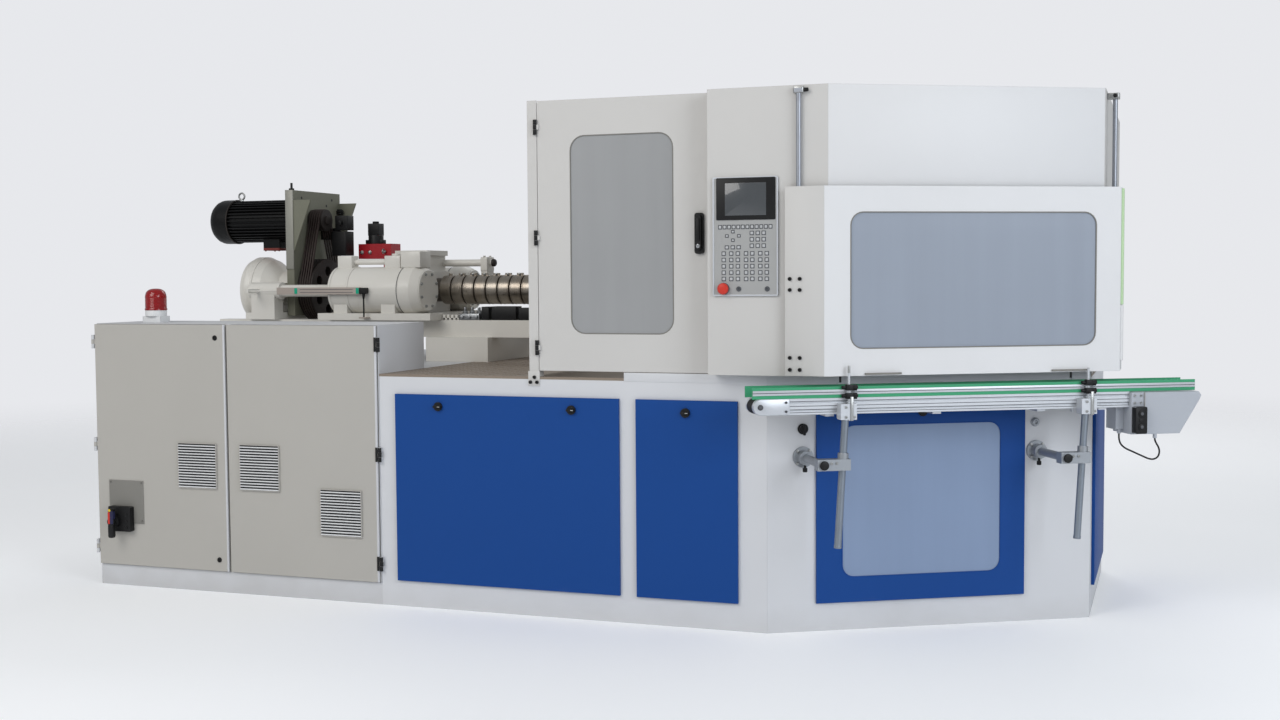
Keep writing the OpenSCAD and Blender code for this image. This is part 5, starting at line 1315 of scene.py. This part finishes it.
@dataclass
class PlasticisingDrive:
    """Motor, plate and crosshead details that ride with the crosshead."""

    motor_x: float = -4.016
    motor_radius: float = 0.133
    grille: tuple[float, ...] = (0.014, 0.028, 0.042, 0.056)
    eye_x: float = -3.846
    flange_x: float = -3.432
    flange_radius: float = 0.138
    lid_x: Span = (-3.659, -3.539)
    lid_half: float = 0.063
    plate_x: Span = (-3.392, -3.342)
    plate_half: float = 0.215
    plate_top: float = 2.170
    drillings: tuple[Span, ...] = (
        (-0.120, 2.128), (0.225, 2.128), (-0.080, 2.082), (0.160, 2.090), (0.285, 1.905))
    stud: Span = (-3.366, -0.190)
    hub_x: float = -3.764
    hub_cover: Outline = ((0.060, 0.0005), (0.140, 0.0005), (0.140, -0.006), (0.128, -0.010), (0.060, -0.010),
                          (0.060, 0.0005))
    hub_flange: Outline = ((0.196, 0.050), (0.2045, 0.052), (0.2045, 0.084), (0.2020, 0.088), (0.2020, 0.094),
                           (0.2045, 0.096), (0.2045, 0.106), (0.196, 0.110), (0.196, 0.050))

    def cowl(self) -> None:
        """The fan cowl: a domed cover with a ringed grille in its end, and its strap."""
        x, r = self.motor_x, self.motor_radius
        profile = [(0.0, 0.001), (0.062, 0.001), (0.066, -0.0005), (0.090, 0.004), (0.112, 0.015),
                   (r - 0.006, 0.034), (r + 0.002, 0.058), (r + 0.003, 0.075), (r + 0.003, 0.140),
                   (r - 0.001, 0.1405), (r - 0.001, 0.128), (0, 0.128)]
        cover = Shape().turned(profile, (x, 0, MOTOR_Z), ALONG, 64)
        for radius in self.grille:
            cover.ring((x + 0.0005, 0, MOTOR_Z), ALONG, radius, 0.0022, 40)
        cover.piece("fan_cowl", Finishes.MOTOR, "crosshead", "motor_black")
        profile = [(r + 0.0028, 0.1395), (r + 0.0045, 0.1395), (r + 0.0045, 0.1455), (r - 0.004, 0.1455),
                   (r - 0.004, 0.1395), (r + 0.0028, 0.1395)]
        strap = Shape().turned(profile, (x, 0, MOTOR_Z), ALONG, 64)
        strap.piece("cowl_strap", Finishes.IRON, "crosshead", "motor_black")

    def motor_fittings(self) -> None:
        """Lifting eye, flange bolts and the lid of the terminal box under the motor."""
        x = self.eye_x
        top = MOTOR_Z + self.motor_radius - 0.005
        eye = Shape().rod((x, 0, top - 0.012), (x, 0, top + 0.012), 0.011, sides=20, soften=0.002)
        eye.ring((x, 0, top + 0.030), BACK, 0.020, 0.0055, 36)
        eye.piece("lifting_eye", Finishes.ZINC, "crosshead", "rail_steel")
        bolts = Shape()
        for at in circle((self.flange_x, 0, MOTOR_Z), ALONG, self.flange_radius, 8, 0.5):
            bolts.hexagon(at, LEFT, 0.016, 0.011)
        bolts.piece("flange_bolts", Finishes.ZINC, "crosshead", "rail_steel")
        low = MOTOR_Z - self.motor_radius - 0.036
        (x0, x1), half = self.lid_x, self.lid_half
        lid = Shape().slab((x0, -half, low - 0.012), (x1, half, low + 0.004), UP, 0.010, 0.003)
        for u, v in product((x0 + 0.012, x1 - 0.012), (-half + 0.013, half - 0.013)):
            lid.socket_screw((u, v, low - 0.012), DOWN, 0.0045)
        lid.piece("terminal_lid", Finishes.LID, "crosshead", "valve_red")

    def plate_fittings(self) -> None:
        """Drilled marks, edge bar and black clamp knobs of the motor plate."""
        left, right = self.plate_x
        top = self.plate_top
        holes = Shape()
        for y, z in self.drillings:
            holes.rod((right - 0.001, y, z), (right + 0.0006, y, z), 0.008, sides=20)
        holes.piece("plate_holes", Finishes.BLACK, "crosshead", "plate_olive")
        edge = Shape().block((left - 0.001, -self.plate_half - 0.006, UNIT_Z + 0.130),
                             (right + 0.001, -self.plate_half + 0.001, top + 0.001), 0.0015)
        edge.piece("plate_edge", Finishes.EDGE, "crosshead", "plate_olive")
        knobs = Shape().rod((*self.stud, top), (*self.stud, 2.214), 0.007, sides=18, soften=0.001)
        knobs.rod((*self.stud, top), (*self.stud, 2.182), 0.016, sides=24, soften=0.003)
        knobs.star_knob((right, -0.160, 2.070), ALONG, 0.020, 0.030)
        knobs.star_knob((right, 0.292, 2.055), ALONG, 0.020, 0.034)
        knobs.piece("clamp_knobs", Finishes.BLACK, "crosshead", "black_plastic")

    def switch_boxes(self) -> None:
        """The limit-switch boxes on their bracket beside the motor plate."""
        x = self.plate_x[1]
        boxes = Shape().slab((x + 0.118, 0.060, 1.935), (x + 0.205, 0.140, 2.024), UP, 0.006, 0.003)
        boxes.slab((x + 0.100, 0.050, 1.780), (x + 0.198, 0.150, 1.928), UP, 0.006, 0.003)
        boxes.block((x - 0.002, 0.092, 1.880), (x + 0.130, 0.112, 1.950), 0.002)
        boxes.rod((x + 0.160, 0.058, 1.980), (x + 0.160, 0.040, 1.980), 0.014, soften=0.002)
        boxes.piece("switch_boxes", Finishes.BLACK, "crosshead", "black_plastic")

    def hub(self) -> None:
        """Cover, flange ring and cap screws of the white bearing hub."""
        middle = (self.hub_x, 0, UNIT_Z)
        cover = Shape().turned(self.hub_cover, middle, ALONG, 64)
        cover.piece("hub_cover", Finishes.CASTING, "crosshead", "casting_white")
        flange = Shape().turned(self.hub_flange, middle, ALONG, 72)
        flange.piece("hub_flange", Finishes.CASTING, "crosshead", "casting_white")
        bolts = Shape()
        for at in circle((self.hub_x - 0.010, 0, UNIT_Z), ALONG, 0.108, 8):
            bolts.socket_screw(at, LEFT, 0.010)
        bolts.piece("hub_screws", Finishes.ZINC, "crosshead", "rail_steel")

    def build(self) -> None:
        """Makes the drive's fittings."""
        self.cowl()
        self.motor_fittings()
        self.plate_fittings()
        self.switch_boxes()
        self.hub()


@dataclass
class InjectionUnit:
    """Cylinder, barrel, gauge and valve details that ride with the carriage, and the services on the bed."""

    ram_y: float = 0.300
    ram_x: Span = (-2.985, -2.535)
    cap_x: float = -2.406
    cap_plate: Outline = ((0, -0.0005), (0.119, -0.0005), (0.119, 0.004), (0.116, 0.007), (0, 0.007))
    cap_seam: Outline = ((0.132, -0.0035), (0.1362, -0.0025), (0.1362, 0.0015), (0.132, 0.0025),
                         (0.132, -0.0035))
    collar: Outline = ((0.130, 0.0), (0.1385, 0.001), (0.1385, 0.013), (0.130, 0.014), (0.130, 0.0))
    screw_ring: float = 0.098
    band_x: float = -2.366
    band_pitch: float = 0.075
    band_width: float = 0.064
    band_radius: float = 0.085
    bands: int = 18
    lead_x: Span = (-2.441, -2.377)
    lead_radius: Span = (0.0702, 0.085)
    gauge_y: float = -0.439
    tag_x: Span = (-3.176, -2.770)
    groove_x: Span = (-3.150, -2.800)
    plug_x: Span = (-2.7595, -2.7135)
    valve_at: Span = (-3.050, 0.255)
    valve_foot: Outline = ((0, 1.8525), (0.0465, 1.8525), (0.0465, 1.9046), (0.0456, 1.9062), (0, 1.9062))
    tip: Outline = ((0, -0.001), (0.0225, -0.001), (0.0225, 0.014), (0.018, 0.020), (0.011, 0.022),
                    (0, 0.022))
    beam_top: float = 1.400
    beam_y: Span = (-0.286, -0.206)
    terminals: tuple[tuple[float, float, float], ...] = (
        (-2.076, -2.028, 0.076), (-2.012, -1.860, 0.078), (-1.846, -1.700, 0.070))

    def lead_band(self) -> None:
        """A plain heater band next to the feed block, with its clamp lug."""
        (x0, x1), (inner, outer) = self.lead_x, self.lead_radius
        rim, fall = outer - 0.0008, 0.0012
        profile = [(inner, x0), (rim, x0), (outer, x0 + fall), (outer, x1 - fall), (rim, x1), (inner, x1),
                   (inner, x0)]
        band = Shape().turned(profile, (0, 0, UNIT_Z), ALONG, 72)
        x = (x0 + x1) / 2
        band.block((x - 0.009, -0.009, UNIT_Z + 0.079), (x + 0.009, 0.009, UNIT_Z + 0.097), 0.001)
        band.piece("lead_band", Finishes.BAND, "carriage", "band_steel")

    def services(self) -> None:
        """Terminal boxes, a manifold with fittings and a slotted bracket on the bed's front beam."""
        (y0, y1), z = self.beam_y, self.beam_top
        boxes, bracket = Shape(), Shape()
        for x0, x1, rise in self.terminals:
            boxes.slab((x0, y0, z), (x1, y1, z + rise), UP, 0.004, 0.002)
        boxes.piece("terminal_boxes", Finishes.BLACK, "base", "black_plastic")
        manifold = Shape().block((-2.214, y0, z), (-2.090, y1, z + 0.036), 0.003)
        y = (y0 + y1) / 2
        for i in range(3):
            x = -2.196 + i * 0.044
            manifold.hexagon((x, y, z + 0.036), UP, 0.026, 0.016)
            manifold.rod((x, y, z + 0.051), (x, y, z + 0.072), 0.009, soften=0.002)
            manifold.hexagon((x, y0, z + 0.018), OUT, 0.020, 0.012)
        manifold.piece("service_manifold", Finishes.MACHINED, "base", "rail_steel")
        for i in range(4):
            x = -2.322 + i * 0.026
            bracket.block((x, y0 + 0.004, z), (x + 0.016, y1 - 0.010, z + 0.030), 0.002)
        bracket.block((-2.326, y0 + 0.004, z), (-2.220, y0 + 0.010, z + 0.012), 0.001)
        bracket.piece("service_bracket", Finishes.CASTING, "base", "casting_white")

    def cylinder_caps(self) -> None:
        """End plates with a ring of cap screws, seams and collars on both injection cylinders."""
        plates, screws, seams, collars = Shape(), Shape(), Shape(), Shape()
        rear, front = self.ram_x
        for y in (-self.ram_y, self.ram_y):
            plates.turned(self.cap_plate, (self.cap_x, y, UNIT_Z), ALONG, 64)
            for at in circle((self.cap_x + 0.0065, y, UNIT_Z), ALONG, self.screw_ring, 8, 0.5):
                screws.socket_screw(at, ALONG, 0.0085)
            seams.turned(self.cap_seam, (front - 0.0015, y, UNIT_Z), ALONG, 64)
            for x in (rear + 0.004, rear + 0.118):
                collars.turned(self.collar, (x, y, UNIT_Z), ALONG, 64)
        seams.piece("cap_seams", Finishes.KEY_RIM, "carriage", "casting_white")
        collars.piece("ram_collars", Finishes.CASTING, "carriage", "casting_white")
        plates.piece("cap_plates", Finishes.CASTING, "carriage", "casting_white")
        screws.piece("cap_screws", Finishes.ZINC, "carriage", "rail_steel")

    def ports(self) -> None:
        """Port blocks and the oil pipe along the top of the front cylinder."""
        y = -self.ram_y
        blocks = Shape().block((-2.970, y - 0.040, 1.690), (-2.876, y + 0.040, 1.772), 0.004)
        blocks.block((-2.662, y - 0.040, 1.690), (-2.560, y + 0.040, 1.770), 0.004)
        blocks.rod((-2.605, y, 1.765), (-2.605, y, 1.782), 0.026, soften=0.003)
        blocks.block((-2.546, y - 0.060, 1.700), (-2.420, y + 0.070, 1.794), 0.005)
        blocks.piece("port_blocks", Finishes.CASTING, "carriage", "casting_white")
        pipes = Shape().rod((-2.880, y, 1.735), (-2.660, y, 1.735), 0.016, soften=0.002)
        pipes.piece("port_pipes", Finishes.CASTING, "carriage", "casting_white")

    def band_clamps(self) -> None:
        """A strap screw and two raised rims on every heater band."""
        screws, rims = Shape(), Shape()
        z = UNIT_Z + self.band_radius + 0.006
        half = self.band_width / 2
        low, high = self.band_radius - 0.001, self.band_radius + 0.0012
        profile = [(low, -0.002), (high, -0.0015), (high, 0.0015), (low, 0.002), (low, -0.002)]
        for i in range(self.bands):
            x = self.band_x + i * self.band_pitch + half
            screws.rod((x, -0.022, z), (x, 0.022, z), 0.0042, sides=14, soften=0.0008)
            screws.hexagon((x, -0.009, z), OUT, 0.011, 0.007)
            for edge in (x - half + 0.006, x + half - 0.006):
                rims.turned(profile, (edge, 0, UNIT_Z), ALONG, 48)
        screws.piece("band_screws", Finishes.ZINC, "carriage", "rail_steel")
        rims.piece("band_rims", Finishes.BAND, "carriage", "band_steel")

    def gauge(self) -> None:
        """Green tags, grooves, black plug and stiff lead of the stroke gauge."""
        tags, grooves = Shape(), Shape()
        face = self.gauge_y - 0.0252
        for x in self.tag_x:
            tags.block((x - 0.010, face - 0.0012, UNIT_Z - 0.017),
                       (x + 0.010, face + 0.002, UNIT_Z + 0.017), 0.001)
        tags.piece("gauge_tags", Finishes.TAG, "carriage", "rail_green")
        x0, x1 = self.groove_x
        for z in (UNIT_Z - 0.0085, UNIT_Z + 0.0085):
            grooves.block((x0, face - 0.0004, z - 0.0015), (x1, face + 0.001, z + 0.0015))
        grooves.piece("gauge_grooves", Finishes.KEY_RIM, "carriage", "gauge_silver")
        x0, x1 = self.plug_x
        plug = Shape().slab((x0, self.gauge_y - 0.0285, UNIT_Z - 0.0175),
                            (x1, self.gauge_y + 0.0022, UNIT_Z + 0.0175), ALONG, 0.005, 0.002)
        x, y = -2.737, self.gauge_y - 0.013
        plug.rod((x, y, UNIT_Z - 0.017), (x, y, UNIT_Z - 0.045), 0.009, 0.006, soften=0.001)
        plug.rod((x, y, UNIT_Z - 0.040), (x, y, 1.4198), 0.0046)
        plug.piece("gauge_plug", Finishes.BLACK, "carriage", "black_plastic")

    def valve(self) -> None:
        """The black pilot valve on the red block, its coil cap, an eye and plugs."""
        x, y = self.valve_at
        valve = Shape().turned(self.valve_foot, (x, y, 0), UP, 40)
        valve.slab((x - 0.0365, y - 0.0365, 1.9045), (x + 0.0365, y + 0.0365, 1.9785), UP, 0.003, 0.001)
        valve.rod((x, y, 1.978), (x, y, 1.992), 0.020, soften=0.003)
        valve.block((x - 0.062, y - 0.023, 1.8525), (x + 0.058, y + 0.023, 1.878), 0.003)
        valve.piece("pilot_valve", Finishes.BLACK, "carriage", "black_plastic")
        eye = Shape().rod((-2.955, 0.195, 1.805), (-2.955, 0.186, 1.805), 0.009, sides=18)
        eye.ring((-2.955, 0.174, 1.805), ALONG, 0.013, 0.004, 28)
        for x in (-3.115, -3.060):
            eye.hexagon((x, 0.195, 1.800), OUT, 0.018, 0.010)
        eye.piece("block_eye", Finishes.ZINC, "carriage", "rail_steel")

    def pipe(self) -> None:
        """Split clamp and tipped end of the pipe over the barrel."""
        clamp = Shape().slab((-2.242, 0.056, 1.676), (-2.198, 0.154, 1.762), ALONG, 0.010, 0.003)
        for y in (0.066, 0.144):
            clamp.hexagon((-2.220, y, 1.762), UP, 0.013, 0.008)
        clamp.piece("pipe_clamp", Finishes.CASTING, "carriage", "casting_white")
        tip = Shape().turned(self.tip, (-2.185, 0.105, 1.728), ALONG, 36)
        tip.piece("pipe_tip", Finishes.IRON, "carriage", "pulley_iron")

    def build(self) -> None:
        """Makes the unit's fittings."""
        self.lead_band()
        self.services()
        self.cylinder_caps()
        self.ports()
        self.band_clamps()
        self.gauge()
        self.valve()
        self.pipe()


@dataclass
class PressBolts:
    """Nuts, caps and cap screws on the press crowns, seen from above."""

    crown_top: float = 2.320
    cylinder_top: float = 2.450
    stations: Span = (math.radians(180), math.radians(60))
    radial: float = 0.590
    side: float = 0.470
    cap: Outline = ((0, -0.0005), (0.116, -0.0005), (0.116, 0.012), (0.108, 0.018), (0, 0.018))
    screw_ring: float = 0.094

    def build(self) -> None:
        """Puts a nut on each tie bar and a cap on each clamp cylinder."""
        nuts, caps = Shape(), Shape()
        for angle in self.stations:
            turn = Matrix.Rotation(angle, 4, "Z")
            for y in (-self.side, self.side):
                nuts.hexagon(turn @ Vector((self.radial, y, self.crown_top)), UP, 0.085, 0.045)
            top = turn @ Vector((self.radial, 0, self.cylinder_top))
            caps.turned(self.cap, top, UP, 56)
            for at in circle(top + Vector((0, 0, 0.0175)), UP, self.screw_ring, 8):
                nuts.socket_screw(at, UP, 0.009)
        nuts.piece("crown_nuts", Finishes.ZINC, "base", "rail_steel")
        caps.piece("clamp_caps", Finishes.CASTING, "base", "crown_white")


@dataclass
class Conveyor:
    """End cheek, knobs, rails, clamps and switches of the take-off conveyor, in the chamfer's directions."""

    height: float = 0.072
    front: float = -0.270
    cheek_s: Span = (-0.100, 0.026)
    grooves: tuple[float, ...] = (0.013, 0.034, 0.049, 0.062)
    rail_s: Span = (-0.1385, 1.9635)
    rail_z: Span = (BELT_TOP + 0.015, BELT_TOP + 0.037)
    rail_faces: tuple[tuple[float, int], ...] = ((-0.2720, -1), (-0.1380, 1))
    post_s: Span = (0.262, 1.396)
    post_z: Span = (0.441, 1.060)
    post_out: float = 0.300
    post_lean: float = math.radians(3.4)
    post_radius: float = 0.016
    stem_tops: Span = (1.246, 1.2165)
    knob_z: Span = (1.113, 1.150)
    arm_s: Span = (0.169, 1.311)
    arm_z: float = 0.812
    button_z: Span = (0.945, 1.005)
    button: Outline = ((0, 0), (0.015, 0), (0.015, 0.004), (0.011, 0.006), (0, 0.006))

    def cheek(self) -> None:
        """The rounded cheek at the idler end with a bolt and two screws."""
        z = BELT_TOP - self.height / 2
        half = self.height / 2 - 0.002
        y = self.front + 0.0004
        start, end = self.cheek_s
        turns = [math.pi / 2 + math.pi * i / 12 for i in range(13)]
        outline = [(start + half * math.cos(turn), y, z + half * math.sin(turn)) for turn in turns]
        outline += [(end, y, z - half), (end, y, z + half)]
        cheek = Shape().plate(outline, (0, -0.0045, 0), 0.0008)
        cheek.on_chamfer().piece("idler_cheek", Finishes.ALLOY, "conveyor", "profile_alu")
        bolts = Shape().hexagon((-0.104, self.front - 0.004, z), OUT, 0.019, 0.010)
        for rise in (-0.020, 0.020):
            bolts.socket_screw((0.012, self.front - 0.004, z + rise), OUT, 0.0055)
        bolts.on_chamfer().piece("cheek_bolts", Finishes.KEY_RIM, "conveyor", "rail_steel")

    def profile_lines(self) -> None:
        """Dark grooves along the front of the conveyor's profile."""
        lines = Shape()
        for drop in self.grooves:
            z = BELT_TOP - drop
            lines.block((0.030, self.front - 0.0004, z - 0.0013),
                        (DRIVE_S - 0.001, self.front + 0.001, z + 0.0013))
        lines.on_chamfer().piece("profile_grooves", Finishes.KEY_RIM, "conveyor", "profile_alu")

    def rails(self) -> None:
        """A bright channel with a dark groove along each green guide rail."""
        channel, groove = Shape(), Shape()
        (s0, s1), (low, high) = self.rail_s, self.rail_z
        for face, out in self.rail_faces:
            y0, y1 = sorted((face, face + out * 0.0022))
            channel.block((s0, y0, low), (s1, y1, high), 0.0006)
            y0, y1 = sorted((face + out * 0.0018, face + out * 0.0025))
            groove.block((s0 - 0.0002, y0, low + 0.009), (s1 + 0.0002, y1, low + 0.012))
        channel.on_chamfer().piece("rail_channels", Finishes.ALLOY, "conveyor", "profile_alu")
        groove.on_chamfer().piece("rail_grooves", Finishes.KEY_RIM, "conveyor", "profile_alu")

    def knobs(self) -> None:
        """Two stacked clamp knobs on each front rail post, their bosses and the post tips."""
        knobs, tips = Shape(), Shape()
        for post, top in zip(self.post_s, self.stem_tops):
            s = post + 0.034
            for z in self.knob_z:
                knobs.block((s - 0.016, -0.300, z - 0.013), (s + 0.016, -0.2728, z + 0.013), 0.003)
                knobs.star_knob((s + 0.014, -0.286, z), ALONG, 0.015, 0.022, 5)
                knobs.rod((s - 0.034, -0.286, z), (s - 0.014, -0.286, z), 0.008, sides=20, soften=0.002)
            tips.rod((s, -0.284, 1.2135), (s, -0.284, top), 0.0061, soften=0.001)
            tips.block((s - 0.007, -0.3285, 1.006), (s + 0.007, -0.3238, 1.112), 0.001)
        knobs.on_chamfer().piece("rail_knobs", Finishes.BLACK, "conveyor", "black_plastic")
        tips.on_chamfer().piece("rail_post_tips", Finishes.ZINC, "conveyor", "rail_steel")

    def tubes(self) -> None:
        """Dull steel sleeves over the two leaning posts, with end plugs."""
        sleeves, plugs = Shape(), Shape()
        lean = Vector((math.sin(self.post_lean), 0, math.cos(self.post_lean)))
        for s in self.post_s:
            pivot = Vector((s, -self.post_out, self.arm_z))
            low, high = (pivot + lean * (z - self.arm_z) for z in self.post_z)
            for start, end in ((low, pivot - lean * 0.0275), (pivot + lean * 0.0515, high - lean * 0.052)):
                sleeves.rod(start, end, self.post_radius + 0.00004, sides=96)
            plugs.rod(low - lean * 0.002, low + lean * 0.012, self.post_radius + 0.0012, soften=0.001)
        sleeves.on_chamfer().piece("post_tubes", Finishes.TUBE, "conveyor", "rail_steel")
        plugs.on_chamfer().piece("post_plugs", Finishes.TUBE, "conveyor", "rail_steel")

    def brackets(self) -> None:
        """Cap screws on the post brackets."""
        screws = Shape()
        for s in self.post_s:
            for u, z in ((0.008, 1.022), (0.046, 1.022), (0.008, 1.066)):
                screws.socket_screw((s + u, -self.post_out - 0.024, z), OUT, 0.006)
        screws.on_chamfer().piece("bracket_screws", Finishes.ZINC, "conveyor", "rail_steel")

    def arms(self) -> None:
        """Wall flange bolts, set screws, round caps and clamp screws of the support arms."""
        bolts, caps = Shape(), Shape()
        y, z = -self.post_out, self.arm_z
        for arm, post in zip(self.arm_s, self.post_s):
            for at in circle((arm, -0.012, z), BACK, 0.040, 4, 0.5):
                bolts.hexagon(at, OUT, 0.012, 0.008)
            for u in (0.012, -0.012):
                bolts.socket_screw(((arm + post) / 2 + u, y - 0.026, z + 0.008), OUT, 0.006)
            caps.rod((arm, y - 0.028, z), (arm, y - 0.040, z), 0.0205, soften=0.003)
            caps.rod((arm, -0.036, z - 0.031), (arm, -0.036, z - 0.048), 0.006, sides=18, soften=0.001)
            caps.rod((arm, -0.036, z - 0.046), (arm, -0.036, z - 0.066), 0.011, sides=20, soften=0.003)
        bolts.on_chamfer().piece("arm_bolts", Finishes.ZINC, "base", "rail_steel")
        caps.on_chamfer().piece("arm_caps", Finishes.BLACK, "base", "black_plastic")

    def switches(self) -> None:
        """The black switch box with its buttons, and the seam and screws of the drive housing."""
        s = DRIVE_S
        dots, screws = Shape(), Shape()
        box = Shape().slab((s + 0.003, -0.3252, 0.913), (s + 0.061, -0.2895, 1.036), BACK, 0.006, 0.002)
        for z in self.button_z:
            box.turned(self.button, (s + 0.032, -0.3252, z), OUT, 28)
            dots.rod((s + 0.032, -0.3310, z), (s + 0.032, -0.3325, z), 0.0075, sides=20, soften=0.0006)
        box.block((s + 0.020, -0.3285, 0.966), (s + 0.044, -0.3245, 0.984), 0.002)
        box.on_chamfer().piece("switch_box", Finishes.BLACK, "conveyor", "black_plastic")
        dots.on_chamfer().piece("switch_buttons", Finishes.KEY_RIM, "conveyor", "panel_grey")
        seam = Shape().block((s + 0.0615, -0.2972, 0.9085), (s + 0.0655, -0.2900, 1.0995), 0.0008)
        seam.on_chamfer().piece("housing_seam", Finishes.PANEL, "conveyor", "drive_grey")
        for z, u in product((1.085, 1.052), (0.016, 0.047)):
            screws.socket_screw((s + u, -0.290, z), OUT, 0.0055)
        screws.on_chamfer().piece("housing_screws", Finishes.ZINC, "conveyor", "rail_steel")

    def build(self) -> None:
        """Makes the conveyor's fittings."""
        self.cheek()
        self.profile_lines()
        self.rails()
        self.knobs()
        self.tubes()
        self.brackets()
        self.arms()
        self.switches()


def paint_nodes(nodes: dict[str, bpy.types.Object]) -> None:
    """Gives every solid of the frame its finish.

    Args:
        nodes: the frame's objects by name.
    """
    finishes = {name: finish for finish, names in FINISHED_NODES.items() for name in names.split()}
    for name, made in nodes.items():
        made.data.materials.clear()
        made.data.materials.append(finishes[name].material())


def main() -> None:
    """Loads the frame, sets the stage, paints the frame's solids and builds every sub-assembly."""
    logging.basicConfig(level=logging.INFO, format="%(message)s")
    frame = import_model()
    Studio().build()
    paint_nodes(frame["nodes"])
    for assembly in (DriveCord, Cabinet, OperatorPanel, GuardFittings, BaseFittings, PlasticisingDrive,
                     InjectionUnit, PressBolts, Conveyor):
        assembly().build()


if __name__ == "__main__":
    main()
